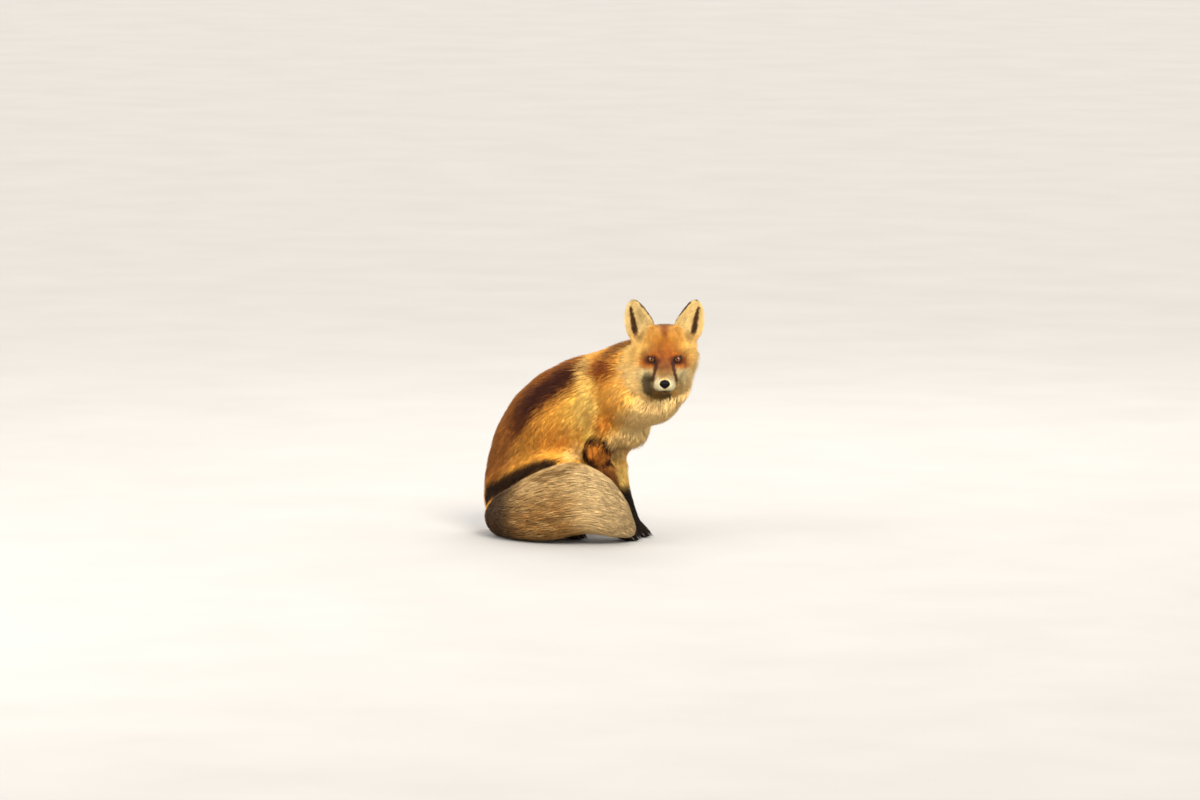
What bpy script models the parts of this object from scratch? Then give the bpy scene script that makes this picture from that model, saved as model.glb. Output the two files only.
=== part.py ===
"""A sitting red fox in winter coat, life size, as a still display model.

The fox faces +X and sits with its right side towards -Y. Its head is turned to the right and its
tail is wrapped forward along its right side. Units are metres, +Z is up and the floor is z = 0.
Every form is drawn out to the tips of the coat.
"""

import math

import bmesh
import bpy
from mathutils import Euler, Matrix, Vector

# Driving dimensions
GAP = 0.0005                 # width of the thin cuts between neighbouring pieces
VOXEL = 0.0034               # grid on which the forms melt together
MELT_PASSES = 16             # smoothing passes over the melted forms
FLESH_SHARE = 0.0225          # share of the melted mesh's faces that is kept
TAIL_SHARE = 0.019
FINE_WEIGHT = 0.7            # how far the face and feet are spared by smoothing and merging

BODY_WIDTH = 0.95            # half width of the trunk over its half depth
STANCE = 0.034               # half distance between the front paws
KNEE = Vector((0.116, 0.038, 0.150))         # middle of the right foreleg, its y as on the left
LEFT_LEGS_BACK = 0.013       # the left feet stand this far behind the right
HIND_STANCE = 0.074          # half distance between the hind feet

HEAD_EYES = Vector((0.296, -0.088, 0.399))   # point midway between the eyes
HEAD_TURN = math.radians(-60)                # to the fox's right
HEAD_PITCH = math.radians(9)                 # nose down
TAIL_TALLER = 1.28           # the brush's height over its width

EYE_SPREAD = 0.0272          # half distance between the eye centres
EYE_RADIUS = 0.0092
EYE_BACK = -0.0060           # eye centre behind the brow point
NOSE_TIP = Vector((0.0835, 0, -0.0325))

EAR_THICKNESS = 0.0046
EAR_COLUMNS = 5
EAR_ROWS = (                 # inner edge y, z; outer edge y, z; depth of the bowl; in the head's axes
    (0.017, 0.054, 0.057, 0.004, 0.006),
    (0.0205, 0.071, 0.0715, 0.028, 0.014),
    (0.0265, 0.079, 0.0810, 0.045, 0.021),
    (0.0325, 0.087, 0.0845, 0.060, 0.021),
    (0.0385, 0.095, 0.0855, 0.075, 0.018),
    (0.0440, 0.102, 0.0845, 0.088, 0.013),
    (0.0495, 0.109, 0.0820, 0.100, 0.008),
    (0.0555, 0.1145, 0.0780, 0.1095, 0.004),
    (0.0620, 0.1170, 0.0725, 0.1150, 0.001),
)

COAT = (0.78, 0.45, 0.13)
PALE_COAT = (0.80, 0.62, 0.34)
TAIL_COAT = (0.52, 0.42, 0.28)
STOCKING = (0.05, 0.035, 0.03)
EYE_AMBER = (0.30, 0.14, 0.04)
NOSE_BLACK = (0.02, 0.018, 0.02)

HEAD_FRAME = Matrix.Translation(HEAD_EYES) @ Euler((0, HEAD_PITCH, HEAD_TURN), "XYZ").to_matrix().to_4x4()


# Scene and collections
def clear_scene():
    for obj in list(bpy.data.objects):
        bpy.data.objects.remove(obj)


def new_collection(name):
    collection = bpy.data.collections.new(name)
    bpy.context.scene.collection.children.link(collection)
    return collection


def move_to(obj, collection):
    for holder in list(obj.users_collection):
        holder.objects.unlink(obj)
    collection.objects.link(obj)
    return obj


def as_helper(obj):
    """Forms and cutters shape the fox but aren't pieces of it."""
    obj.hide_render = True
    obj.display_type = "WIRE"
    return move_to(obj, HELPERS)


def material(name, colour, roughness, metallic=0.0):
    made = bpy.data.materials.new(name)
    made.use_nodes = True
    shader = made.node_tree.nodes["Principled BSDF"]
    shader.inputs["Base Color"].default_value = (*colour, 1)
    shader.inputs["Roughness"].default_value = roughness
    shader.inputs["Metallic"].default_value = metallic
    return made


def evaluated_mesh(obj):
    bpy.context.view_layer.update()
    graph = bpy.context.evaluated_depsgraph_get()
    mesh = bpy.data.meshes.new_from_object(obj.evaluated_get(graph), depsgraph=graph)
    mesh.transform(obj.matrix_world)
    return mesh


def object_of(name, mesh):
    obj = bpy.data.objects.new(name, mesh)
    bpy.context.scene.collection.objects.link(obj)
    return obj


# Forms that melt into the body
def blob(centre, radii, turn=(0, 0, 0), frame=None):
    """An ellipsoid; turn is in degrees, and frame carries it into the head's axes."""
    bpy.ops.mesh.primitive_ico_sphere_add(subdivisions=4, radius=1)
    obj = bpy.context.object
    turned = Euler([math.radians(a) for a in turn]).to_matrix().to_4x4()
    place = Matrix.Translation(centre) @ turned @ Matrix.Diagonal((*radii, 1))
    obj.data.transform((frame or Matrix()) @ place)
    return as_helper(obj)


def limb(stations, widen=1.0, about_y=0.0, frame=None):
    """A smooth tapering tube with round ends through stations of (x, y, z, radius).

    widen scales it sideways about the plane y = about_y.
    """
    curve = bpy.data.curves.new("limb", "CURVE")
    curve.dimensions = "3D"
    curve.bevel_depth = 1
    curve.bevel_resolution = 6
    curve.resolution_u = 10
    curve.use_fill_caps = True
    spline = curve.splines.new("BEZIER")
    spline.bezier_points.add(len(stations) - 1)
    for point, (x, y, z, radius) in zip(spline.bezier_points, stations):
        point.co = (x, y, z)
        point.radius = radius
        point.handle_left_type = "AUTO"
        point.handle_right_type = "AUTO"
    path = object_of("limb_path", curve)
    tube = object_of("limb", evaluated_mesh(path))
    bpy.data.objects.remove(path)
    weld = bmesh.new()
    weld.from_mesh(tube.data)
    bmesh.ops.remove_doubles(weld, verts=weld.verts, dist=1e-6)
    for x, y, z, radius in (stations[0], stations[-1]):
        place = Matrix.Translation((x, y, z))
        bmesh.ops.create_icosphere(weld, subdivisions=3, radius=radius * 0.999, matrix=place)
    weld.to_mesh(tube.data)
    weld.free()
    squeeze = Matrix.Translation((0, about_y, 0)) @ Matrix.Diagonal((1, widen, 1, 1))
    tube.data.transform(squeeze @ Matrix.Translation((0, -about_y, 0)))
    if frame:
        tube.data.transform(frame)
    return as_helper(tube)


def melt(name, forms, fine_centres, share):
    """Joins overlapping forms into one smooth closed surface with few faces.

    fine_centres are (centre, radius) of the regions that keep more of their faces.
    """
    joined = bmesh.new()
    for form in forms:
        joined.from_mesh(form.data)
    mesh = bpy.data.meshes.new(name)
    joined.to_mesh(mesh)
    joined.free()
    whole = object_of(name, mesh)
    remesh = whole.modifiers.new("melt", "REMESH")
    remesh.mode = "VOXEL"
    remesh.voxel_size = VOXEL
    whole.data = evaluated_mesh(whole)
    whole.modifiers.clear()
    spared = whole.vertex_groups.new(name="broad_forms")
    for vertex in whole.data.vertices:
        weight = 1.0
        for centre, radius in fine_centres:
            near = min(1.0, max(0.0, 2.0 - (vertex.co - centre).length / radius))
            weight = min(weight, 1 - FINE_WEIGHT * near)
        spared.add([vertex.index], weight, "REPLACE")
    smooth = whole.modifiers.new("soften", "SMOOTH")
    smooth.factor = 0.5
    smooth.iterations = MELT_PASSES
    smooth.vertex_group = spared.name
    fewer = whole.modifiers.new("fewer_faces", "DECIMATE")
    fewer.ratio = share
    fewer.vertex_group = spared.name
    fewer.use_collapse_triangulate = True
    whole.data = evaluated_mesh(whole)
    whole.modifiers.clear()
    return as_helper(whole)


# Cutters
def disc(centre, normal, radius, frame=None):
    """A thin round sheet across a limb; normal points along the limb."""
    bpy.ops.mesh.primitive_cylinder_add(vertices=24, radius=radius, depth=GAP)
    obj = bpy.context.object
    facing = Vector(normal).to_track_quat("Z", "Y").to_matrix().to_4x4()
    obj.data.transform((frame or Matrix()) @ Matrix.Translation(centre) @ facing)
    return as_helper(obj)


def sheet_between(start, end, width, frame):
    """A thin sheet from start to end, width across."""
    start, end = Vector(start), Vector(end)
    along = end - start
    across = Vector((0, 1, 0))
    normal = along.normalized().cross(across)
    axes = Matrix((along.normalized(), across, normal)).transposed().to_4x4()
    bpy.ops.mesh.primitive_cube_add(size=1)
    obj = bpy.context.object
    place = Matrix.Translation((start + end) / 2) @ axes @ Matrix.Diagonal((along.length, width, GAP, 1))
    obj.data.transform(frame @ place)
    return as_helper(obj)


def eye_opening(side):
    """The slit between the lids: long, low and sloping down to the inner corner."""
    at = HEAD_FRAME @ Matrix.Translation((EYE_BACK + 0.010, side * EYE_SPREAD, -0.0004))
    turned = Euler((side * math.radians(14), 0, side * math.radians(12))).to_matrix().to_4x4()
    bpy.ops.mesh.primitive_uv_sphere_add(segments=16, ring_count=8, radius=1)
    obj = bpy.context.object
    obj.data.transform(at @ turned @ Matrix.Diagonal((0.016, 0.0098, 0.0056, 1)))
    return as_helper(obj)


def shell(centre, radii, turn=(0, 0, 0), frame=None):
    """A thin egg-shaped sheet that parts what it holds from the rest."""
    bpy.ops.mesh.primitive_uv_sphere_add(segments=28, ring_count=16, radius=1)
    obj = bpy.context.object
    turned = Euler([math.radians(a) for a in turn]).to_matrix().to_4x4()
    place = Matrix.Translation(centre) @ turned @ Matrix.Diagonal((*radii, 1))
    obj.data.transform((frame or Matrix()) @ place)
    wall = obj.modifiers.new("wall", "SOLIDIFY")
    wall.thickness = GAP
    obj.data = evaluated_mesh(obj)
    obj.modifiers.clear()
    return as_helper(obj)


def floor_block():
    bpy.ops.mesh.primitive_cube_add(size=1)
    obj = bpy.context.object
    obj.data.transform(Matrix.Translation((0, 0, -0.25)) @ Matrix.Diagonal((2, 2, 0.5, 1)))
    return as_helper(obj)


def grown(obj, by):
    """A copy of a solid whose surface stands out by a small distance."""
    copy = object_of(obj.name + "_grown", evaluated_mesh(obj))
    swell = copy.modifiers.new("swell", "DISPLACE")
    swell.strength = by
    swell.mid_level = 0
    copy.data = evaluated_mesh(copy)
    copy.modifiers.clear()
    return as_helper(copy)


def cut(obj, *cutters):
    for cutter in cutters:
        boolean = obj.modifiers.new("cut", "BOOLEAN")
        boolean.operation = "DIFFERENCE"
        boolean.solver = "EXACT"
        boolean.object = cutter
        obj.data = evaluated_mesh(obj)
        obj.modifiers.clear()
    return obj


def holds(obj, point):
    """Whether the point is inside the closed mesh: a ray from it then crosses an odd number of walls."""
    way = Vector((0.31, 0.17, 0.93)).normalized()
    crossings = 0
    found, place, _, _ = obj.ray_cast(point, way)
    while found:
        crossings += 1
        found, place, _, _ = obj.ray_cast(place + way * 1e-6, way)
    return crossings % 2 == 1


def part_pieces(whole, seeds, finish):
    """Splits a cut solid into its loose bodies; each takes the name of the seed point inside it."""
    bpy.ops.object.select_all(action="DESELECT")
    whole.hide_set(False)
    whole.select_set(True)
    bpy.context.view_layer.objects.active = whole
    bpy.ops.object.mode_set(mode="EDIT")
    bpy.ops.mesh.select_all(action="SELECT")
    bpy.ops.mesh.separate(type="LOOSE")
    bpy.ops.object.mode_set(mode="OBJECT")
    for body in list(bpy.context.selected_objects):
        names = [name for name, seed in seeds.items() if holds(body, Vector(seed))]
        if not names:
            bpy.data.objects.remove(body)
            continue
        body.name = names[0]
        body.hide_render = False
        body.display_type = "SOLID"
        as_piece(body, finish[names[0]])


# The fox's forms
def trunk_forms():
    """Rump on the floor, the back rising steeply to the withers, then the thick winter neck."""
    spine = [
        (-0.118, 0, 0.078, 0.076),
        (-0.103, 0, 0.132, 0.084),
        (-0.073, 0, 0.198, 0.091),
        (-0.016, 0, 0.256, 0.098),
        (0.052, 0, 0.288, 0.101),
        (0.118, 0, 0.313, 0.095),
        (0.176, -0.008, 0.344, 0.087),
        (0.226, -0.024, 0.364, 0.080),
    ]
    return [
        limb(spine, widen=BODY_WIDTH),
        blob((0.204, -0.026, 0.316), (0.094, 0.088, 0.072)),               # throat ruff
        blob((0.146, -0.004, 0.247), (0.071, 0.066, 0.052)),               # breast
        blob((0.056, 0, 0.216), (0.080, 0.070, 0.056)),                    # brisket
        blob((-0.030, 0, 0.140), (0.085, 0.070, 0.062), (0, -25, 0)),      # belly
        blob((-0.118, 0, 0.050), (0.066, 0.078, 0.060)),                   # rump on the floor
    ]


def leg_set_back(side):
    return LEFT_LEGS_BACK if side > 0 else 0.0


def front_leg_forms(side):
    y, back = side * STANCE, leg_set_back(side)
    shoulder = [
        (0.088, side * 0.048, 0.322, 0.044),
        (0.138 - back / 2, side * 0.048, 0.262, 0.045),
        (0.106 - back, side * 0.048, 0.200, 0.040),
    ]
    foreleg = [
        (0.098 - back, side * 0.047, 0.200, 0.034),
        (KNEE.x - back, side * KNEE.y, KNEE.z, 0.0270),
        (0.136 - 1.2 * back, side * 0.036, 0.098, 0.0205),
        (0.151 - 1.2 * back, y, 0.060, 0.0185),
        (0.159 - back, y, 0.034, 0.0180),
    ]
    forms = [limb(shoulder), limb(foreleg)]
    forms.append(blob((0.166 - back, y, 0.018), (0.028, 0.0200, 0.0185)))
    return forms + toe_forms(y, 0.182 - back)


def toe_forms(y, ahead):
    """Four toes in an arc, the middle pair in front."""
    return [
        blob((ahead + reach, y + across, 0.0100), (0.0150, 0.0058, 0.0112))
        for across, reach in ((-0.0138, 0), (-0.0048, 0.009), (0.0048, 0.009), (0.0138, 0))
    ]


def hind_leg_forms(side):
    y, back = side * HIND_STANCE, leg_set_back(side)
    thigh = [
        (-0.110, side * 0.040, 0.105, 0.060),
        (-0.056, side * 0.048, 0.126, 0.060),
        (0.010 - back, side * 0.060, 0.147, 0.047),
        (0.054 - back, side * 0.069, 0.147, 0.036),
    ]
    shin = [
        (0.050 - back, side * 0.070, 0.130, 0.033),
        (-0.010 - back, side * 0.070, 0.078, 0.031),
        (-0.070 - back, y, 0.034, 0.026),
    ]
    foot = [
        (-0.074 - back, y, 0.026, 0.0240),
        (-0.025 - back, y, 0.021, 0.0200),
        (0.030 - back, y, 0.019, 0.0190),
    ]
    forms = [limb(thigh), limb(shin), limb(foot)]
    forms.append(blob((0.050 - back, y, 0.017), (0.030, 0.0205, 0.0180)))
    return forms + toe_forms(y, 0.070 - back)


def head_forms():
    """In the head's own axes: x to the nose, z up, the origin midway between the eyes."""
    at = HEAD_FRAME
    muzzle = [
        (-0.012, 0, -0.020, 0.0330),
        (0.020, 0, -0.0275, 0.0245),
        (0.048, 0, -0.0335, 0.0190),
        (0.0690, 0, -0.0365, 0.0158),
    ]
    jaw = [
        (-0.020, 0, -0.058, 0.0220),
        (0.025, 0, -0.0545, 0.0135),
        (0.0600, 0, -0.0530, 0.0095),
    ]
    forms = [
        blob((-0.056, 0, 0.010), (0.046, 0.056, 0.056), frame=at),             # cranium
        blob((-0.028, 0, 0.008), (0.030, 0.046, 0.026), (0, 25, 0), at),       # forehead
        blob((-0.054, 0, -0.010), (0.044, 0.0790, 0.068), frame=at),           # cheeks, full winter width
        blob((-0.054, 0, 0.028), (0.030, 0.0690, 0.036), frame=at),            # feet of the ears
        blob((-0.010, 0, -0.022), (0.025, 0.043, 0.034), frame=at),            # face below the eyes
        blob((-0.056, 0, -0.048), (0.046, 0.069, 0.056), frame=at),            # throat
        limb(muzzle, frame=at),
        limb(jaw, frame=at),
    ]
    for side in (-1, 1):
        forms += [
            blob((-0.020, side * 0.0260, 0.0130), (0.022, 0.0170, 0.0100), (0, 8, side * -20), at),
            blob((0.0560, side * 0.0120, -0.0405), (0.0210, 0.0125, 0.0130), frame=at),
            blob((-0.058, side * 0.029, -0.074), (0.040, 0.034, 0.036), frame=at),
        ]
    return forms


def tail_forms():
    """The brush leaves the rump's foot and lies along the floor and over the hind paw to the forepaws.

    It is drawn round, then made taller than wide.
    """
    brush = [
        (-0.140, -0.040, 0.030, 0.024),
        (-0.112, -0.088, 0.031, 0.032),
        (-0.062, -0.128, 0.041, 0.045),
        (0.000, -0.150, 0.053, 0.056),
        (0.060, -0.156, 0.066, 0.063),
        (0.112, -0.148, 0.076, 0.062),
        (0.156, -0.122, 0.064, 0.050),
        (0.186, -0.094, 0.040, 0.033),
        (0.202, -0.076, 0.024, 0.016),
    ]
    form = limb(brush)
    form.data.transform(Matrix.Diagonal((1, 1, TAIL_TALLER, 1)))
    return [form]


# Nose, eyes and ears
def nose_pad():
    """The leathery pad: broad above, narrowing to the lip, set into the muzzle's end."""
    at = HEAD_FRAME
    forms = [
        blob(NOSE_TIP + Vector((-0.006, 0, 0.0015)), (0.0090, 0.0108, 0.0075), frame=at),
        blob(NOSE_TIP + Vector((-0.006, 0, -0.0040)), (0.0075, 0.0062, 0.0072), frame=at),
    ]
    joined = bmesh.new()
    for form in forms:
        joined.from_mesh(form.data)
    mesh = bpy.data.meshes.new("nose_pad")
    joined.to_mesh(mesh)
    joined.free()
    pad = object_of("nose_pad", mesh)
    remesh = pad.modifiers.new("melt", "REMESH")
    remesh.mode = "VOXEL"
    remesh.voxel_size = 0.0007
    smooth = pad.modifiers.new("soften", "SMOOTH")
    smooth.iterations = 4
    fewer = pad.modifiers.new("fewer_faces", "DECIMATE")
    fewer.ratio = 0.036
    pad.data = evaluated_mesh(pad)
    pad.modifiers.clear()
    return pad


def eyeball(side):
    bpy.ops.mesh.primitive_uv_sphere_add(segments=14, ring_count=8, radius=EYE_RADIUS)
    obj = bpy.context.object
    obj.name = "eye_left" if side > 0 else "eye_right"
    obj.data.transform(HEAD_FRAME @ Matrix.Translation((EYE_BACK, side * EYE_SPREAD, 0)))
    return obj


def ear(side):
    """A bowl on the corner of the crown: straight slanting inner edge, round tip, upright outer edge."""
    rows = len(EAR_ROWS)
    bpy.ops.mesh.primitive_grid_add(x_subdivisions=EAR_COLUMNS, y_subdivisions=rows - 1, size=2)
    obj = bpy.context.object
    obj.name = "ear_left" if side > 0 else "ear_right"
    for vertex in obj.data.vertices:
        across, row = vertex.co.x, round((vertex.co.y + 1) / 2 * (rows - 1))
        inner_y, inner_z, outer_y, outer_z, hollow = EAR_ROWS[row]
        rounded = 0.0015 * (1 - across ** 2) if row == rows - 1 else 0
        share = (across + 1) / 2
        vertex.co = Vector((
            -0.040 - 0.016 * row / (rows - 1) - hollow * (1 - across ** 2),
            side * (inner_y + (outer_y - inner_y) * share),
            inner_z + (outer_z - inner_z) * share + rounded,
        ))
    obj.data.transform(HEAD_FRAME)
    if side < 0:
        obj.data.flip_normals()
    wall = obj.modifiers.new("wall", "SOLIDIFY")
    wall.thickness = EAR_THICKNESS
    wall.offset = 0
    obj.data = evaluated_mesh(obj)
    obj.modifiers.clear()
    rounded = obj.modifiers.new("round_rim", "BEVEL")
    rounded.width = 0.0012
    rounded.segments = 1
    rounded.limit_method = "ANGLE"
    rounded.angle_limit = math.radians(60)
    obj.data = evaluated_mesh(obj)
    obj.modifiers.clear()
    return obj


def as_piece(obj, finish):
    obj.data.materials.clear()
    obj.data.materials.append(finish)
    obj.data.name = obj.name
    move_to(obj, FOX)
    PIECES[obj.name] = obj
    return obj


# Assembly
def build_fox():
    coat = material("coat", COAT, 0.8)
    pale = material("pale_coat", PALE_COAT, 0.85)
    brush = material("tail_coat", TAIL_COAT, 0.85)
    stocking = material("stocking", STOCKING, 0.7)
    amber = material("eye", EYE_AMBER, 0.1)
    black = material("nose_skin", NOSE_BLACK, 0.35)

    forms = trunk_forms() + head_forms()
    for side in (-1, 1):
        forms += front_leg_forms(side) + hind_leg_forms(side)
    fine = [(HEAD_FRAME @ Vector((0.03, 0, -0.02)), 0.075)]
    for side in (-1, 1):
        fine.append((Vector((0.185, side * STANCE, 0.015)), 0.04))
        fine.append((Vector((0.070, side * HIND_STANCE, 0.015)), 0.04))
    body = melt("body", forms, fine, FLESH_SHARE)
    tail = melt("tail", tail_forms(), [], TAIL_SHARE)

    below = floor_block()
    nose = as_piece(nose_pad(), black)
    eyes = [as_piece(eyeball(side), amber) for side in (-1, 1)]
    sockets = [grown(eye, GAP) for eye in eyes] + [eye_opening(side) for side in (-1, 1)]
    cut(body, below, grown(nose, GAP), *sockets)
    body_space = grown(body, GAP)
    cut(tail, below, body_space)
    for side in (-1, 1):
        cut(as_piece(ear(side), coat), body_space)

    lip = Vector((0.086, 0, -0.0525))
    corner = Vector((0.010, 0, -0.0500))
    throat = Vector((-0.004, 0, -0.110))
    overlap = Vector((0.0003, 0, 0.0012))
    cut(
        body,
        shell((0.016, 0, 0.009), (0.122, 0.108, 0.096), frame=HEAD_FRAME),
        sheet_between(lip, corner, 0.090, HEAD_FRAME),
        sheet_between(corner + overlap, throat, 0.062, HEAD_FRAME),
        disc((0.136, 0, 0.310), (0.78, 0, 0.62), 0.19),
    )
    for side in (-1, 1):
        foot_y, set_back = side * STANCE, leg_set_back(side)
        cut(
            body,
            shell((-0.035 - set_back, side * 0.108, 0.058), (0.180, 0.090, 0.145), (0, -8, 0)),
            disc((KNEE.x - set_back, side * KNEE.y, KNEE.z), (-0.36, side * 0.07, 0.93), 0.034),
            disc((0.156 - set_back, foot_y, 0.046), (-0.2, 0, 1), 0.026),
            disc((0.024 - set_back, side * HIND_STANCE, 0.022), (1, 0, 0), 0.030),
        )
    seeds = {
        "trunk": (0.0, 0, 0.22), "neck": (0.17, 0, 0.32),
        "head": HEAD_FRAME @ Vector((-0.02, 0, -0.01)), "lower_jaw": HEAD_FRAME @ Vector((0.04, 0, -0.06)),
    }
    finish = {"trunk": coat, "neck": pale, "head": coat, "lower_jaw": pale}
    for side, hand in ((-1, "right"), (1, "left")):
        set_back = leg_set_back(side)
        seeds["front_leg_" + hand] = (0.131 - 1.2 * set_back, side * 0.037, 0.110)
        seeds["front_paw_" + hand] = (0.170 - set_back, side * STANCE, 0.015)
        seeds["hind_leg_" + hand] = (-0.04, side * 0.085, 0.10)
        seeds["hind_paw_" + hand] = (0.050 - set_back, side * HIND_STANCE, 0.018)
        finish["front_leg_" + hand] = finish["hind_leg_" + hand] = coat
        finish["front_paw_" + hand] = finish["hind_paw_" + hand] = stocking
    part_pieces(body, seeds, finish)

    cut(
        tail,
        disc((-0.066, -0.140, 0.07), (0.92, -0.40, 0.1), 0.11),
        disc((0.082, -0.156, 0.09), (0.97, 0.16, 0.1), 0.11),
    )
    lengths = {
        "tail_base": (-0.10, -0.11, 0.05),
        "tail_middle": (0.0, -0.16, 0.08),
        "tail_tip": (0.14, -0.13, 0.08),
    }
    part_pieces(tail, lengths, dict.fromkeys(lengths, brush))


def stand_on_origin():
    """Moves the fox so that the middle of its box's underside is the origin."""
    corners = [v.co for piece in PIECES.values() for v in piece.data.vertices]
    low = Vector(map(min, zip(*corners)))
    high = Vector(map(max, zip(*corners)))
    shift = Vector((-(low.x + high.x) / 2, -(low.y + high.y) / 2, -low.z))
    for piece in PIECES.values():
        piece.data.transform(Matrix.Translation(shift))
        piece.data.shade_smooth()
    return shift


clear_scene()
FOX = new_collection("sitting_fox")
HELPERS = new_collection("forms_and_cutters")
PIECES = {}
build_fox()
SHIFT = stand_on_origin()
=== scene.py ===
"""Sitting red fox: the finished look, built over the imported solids.

The solids reach out to the tips of the coat.  One skin lies inside them, as deep as the coat
is there, and solid tufts of hair rise from it along the lie of the coat.  Lengths are metres.
"""

import math

import bmesh
import bpy
import numpy as np
from mathutils import Euler, Matrix, Vector
from mathutils.bvhtree import BVHTree


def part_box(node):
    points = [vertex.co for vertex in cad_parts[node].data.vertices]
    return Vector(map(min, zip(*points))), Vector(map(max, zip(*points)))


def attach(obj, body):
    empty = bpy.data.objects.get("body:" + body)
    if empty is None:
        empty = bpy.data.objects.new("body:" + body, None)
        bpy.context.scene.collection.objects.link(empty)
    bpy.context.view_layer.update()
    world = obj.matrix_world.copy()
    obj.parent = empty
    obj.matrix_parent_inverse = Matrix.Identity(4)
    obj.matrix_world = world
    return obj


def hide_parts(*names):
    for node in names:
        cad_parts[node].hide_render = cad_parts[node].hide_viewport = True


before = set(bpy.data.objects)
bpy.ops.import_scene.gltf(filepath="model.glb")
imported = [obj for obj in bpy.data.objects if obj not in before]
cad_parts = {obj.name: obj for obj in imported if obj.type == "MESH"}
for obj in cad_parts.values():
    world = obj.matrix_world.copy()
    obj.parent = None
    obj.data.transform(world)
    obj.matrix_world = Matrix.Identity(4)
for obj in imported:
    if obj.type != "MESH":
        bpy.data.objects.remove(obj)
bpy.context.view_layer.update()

MM = 0.001

# ---------------------------------------------------------------- places taken from the frame

def middle(node):
    low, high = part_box(node)
    return (low + high) / 2


EYES = {side: middle(f"eye_{side}") for side in ("left", "right")}
EYE_RADIUS = (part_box("eye_left")[1].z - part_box("eye_left")[0].z) / 2
MID_Y = (middle("front_paw_left").y + middle("front_paw_right").y) / 2   # the body's mid plane
EYE_SET_BACK = 6 * MM          # the eyes' centres lie this far behind the head's own origin
HEAD_NOD = math.radians(9)
across_eyes = EYES["left"] - EYES["right"]
HEAD_TURN = Euler((0, HEAD_NOD, math.atan2(-across_eyes.x, across_eyes.y))).to_matrix()
HEAD_ORIGIN = (EYES["left"] + EYES["right"]) / 2 + HEAD_TURN @ Vector((EYE_SET_BACK, 0, 0))
HEAD_AXES = np.array(HEAD_TURN)
FACE_TILT = math.radians(15)   # the markings of the face are laid out square to this tilt


def in_head(points):
    """Places in the head's own frame: x to the nose, y to the fox's left, z up."""
    return (points - np.array(HEAD_ORIGIN)) @ HEAD_AXES


def from_head(local):
    return local @ HEAD_AXES.T + np.array(HEAD_ORIGIN)


def one_side(local):
    """Places in the head with its right side folded onto its left."""
    return np.c_[local[:, 0], np.abs(local[:, 1]), local[:, 2]]


def step(low, high, value):
    """0 below low, 1 above high, with a smooth rise between."""
    t = np.clip((value - low) / (high - low), 0, 1)
    return t * t * (3 - 2 * t)


def bulge(points, centre, radii, soft=.5):
    """1 inside an ellipsoid, falling to 0 at its edge over the outer `soft` share."""
    reach = np.linalg.norm((points - np.array(centre)) / np.array(radii), axis=1)
    return 1 - step(1 - soft, 1 + soft, reach)


def unit(vectors):
    return vectors / np.maximum(np.linalg.norm(vectors, axis=1, keepdims=True), 1e-9)


# ---------------------------------------------------------------- the lie and length of the coat

# Each line runs the way the hair lies.  Points are x, y, z, then the hair's length and the
# coat's depth there in millimetres.
def leg_lines():
    lines = {}
    for side, out, back in (("right", -1, 0), ("left", 1, .013)):
        paw_y = middle(f"front_paw_{side}").y
        lines[f"foreleg_{side}"] = [
            (.028 - back / 2, MID_Y + out * .050, .212, 24, 10),
            (.036 - back, MID_Y + out * .038, .150, 14, 5),
            (.056 - back, MID_Y + out * .036, .098, 9, 3),
            (.072 - back, paw_y, .050, 7, 2.4),
            (.104 - back, paw_y, .012, 5, 1.8)]
        foot_y = middle(f"hind_paw_{side}").y
        lines[f"hindfoot_{side}"] = [
            (-.160 - back, foot_y, .030, 12, 5),
            (-.090 - back, foot_y, .022, 10, 3),
            (-.010 - back, foot_y, .014, 6, 2)]
    return lines


LIE = {
    "spine": [(.146, .032, .364, 38, 16), (.096, .048, .344, 38, 15), (.038, MID_Y, .313, 34, 13),
              (-.028, MID_Y, .288, 32, 12), (-.096, MID_Y, .256, 32, 12),
              (-.153, MID_Y, .198, 32, 12), (-.183, MID_Y, .132, 32, 12),
              (-.198, MID_Y, .070, 30, 11)],
    "breast": [(.150, .010, .335, 40, 16), (.098, .042, .268, 40, 15), (.040, MID_Y, .196, 30, 11),
               (-.050, MID_Y, .120, 24, 9)],
    "brush": [(-.228, -.020, .130, 30, 7), (-.222, -.058, .068, 34, 5), (-.190, -.066, .056, 36, 7),
              (-.142, -.072, .052, 50, 12), (-.080, -.094, .068, 56, 15), (-.020, -.100, .084, 58, 16),
              (.032, -.092, .092, 56, 15), (.076, -.066, .078, 48, 12), (.106, -.038, .050, 36, 8),
              (.124, -.018, .028, 24, 5)],
    **leg_lines(),
}
REACH = {"spine": .095, "breast": .055, "brush": .052, "foreleg": .026, "hindfoot": .026}
GROUPS = {"head": "head", "lower_jaw": "head", "neck": "body", "trunk": "body"}
GROUPS.update({f"ear_{side}": "ear" for side in EYES})
GROUPS.update({f"{part}_{side}": "foreleg" for part in ("front_leg", "front_paw") for side in EYES})
GROUPS.update({f"hind_leg_{side}": "haunch" for side in EYES})
GROUPS.update({f"hind_paw_{side}": "hindfoot" for side in EYES})
GROUPS.update({f"tail_{part}": "brush" for part in ("base", "middle", "tip")})
GUIDES = {"body": ("spine", "breast", "foreleg"), "haunch": ("spine", "hindfoot"),
          "foreleg": ("foreleg",), "hindfoot": ("hindfoot",), "brush": ("brush",)}


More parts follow.
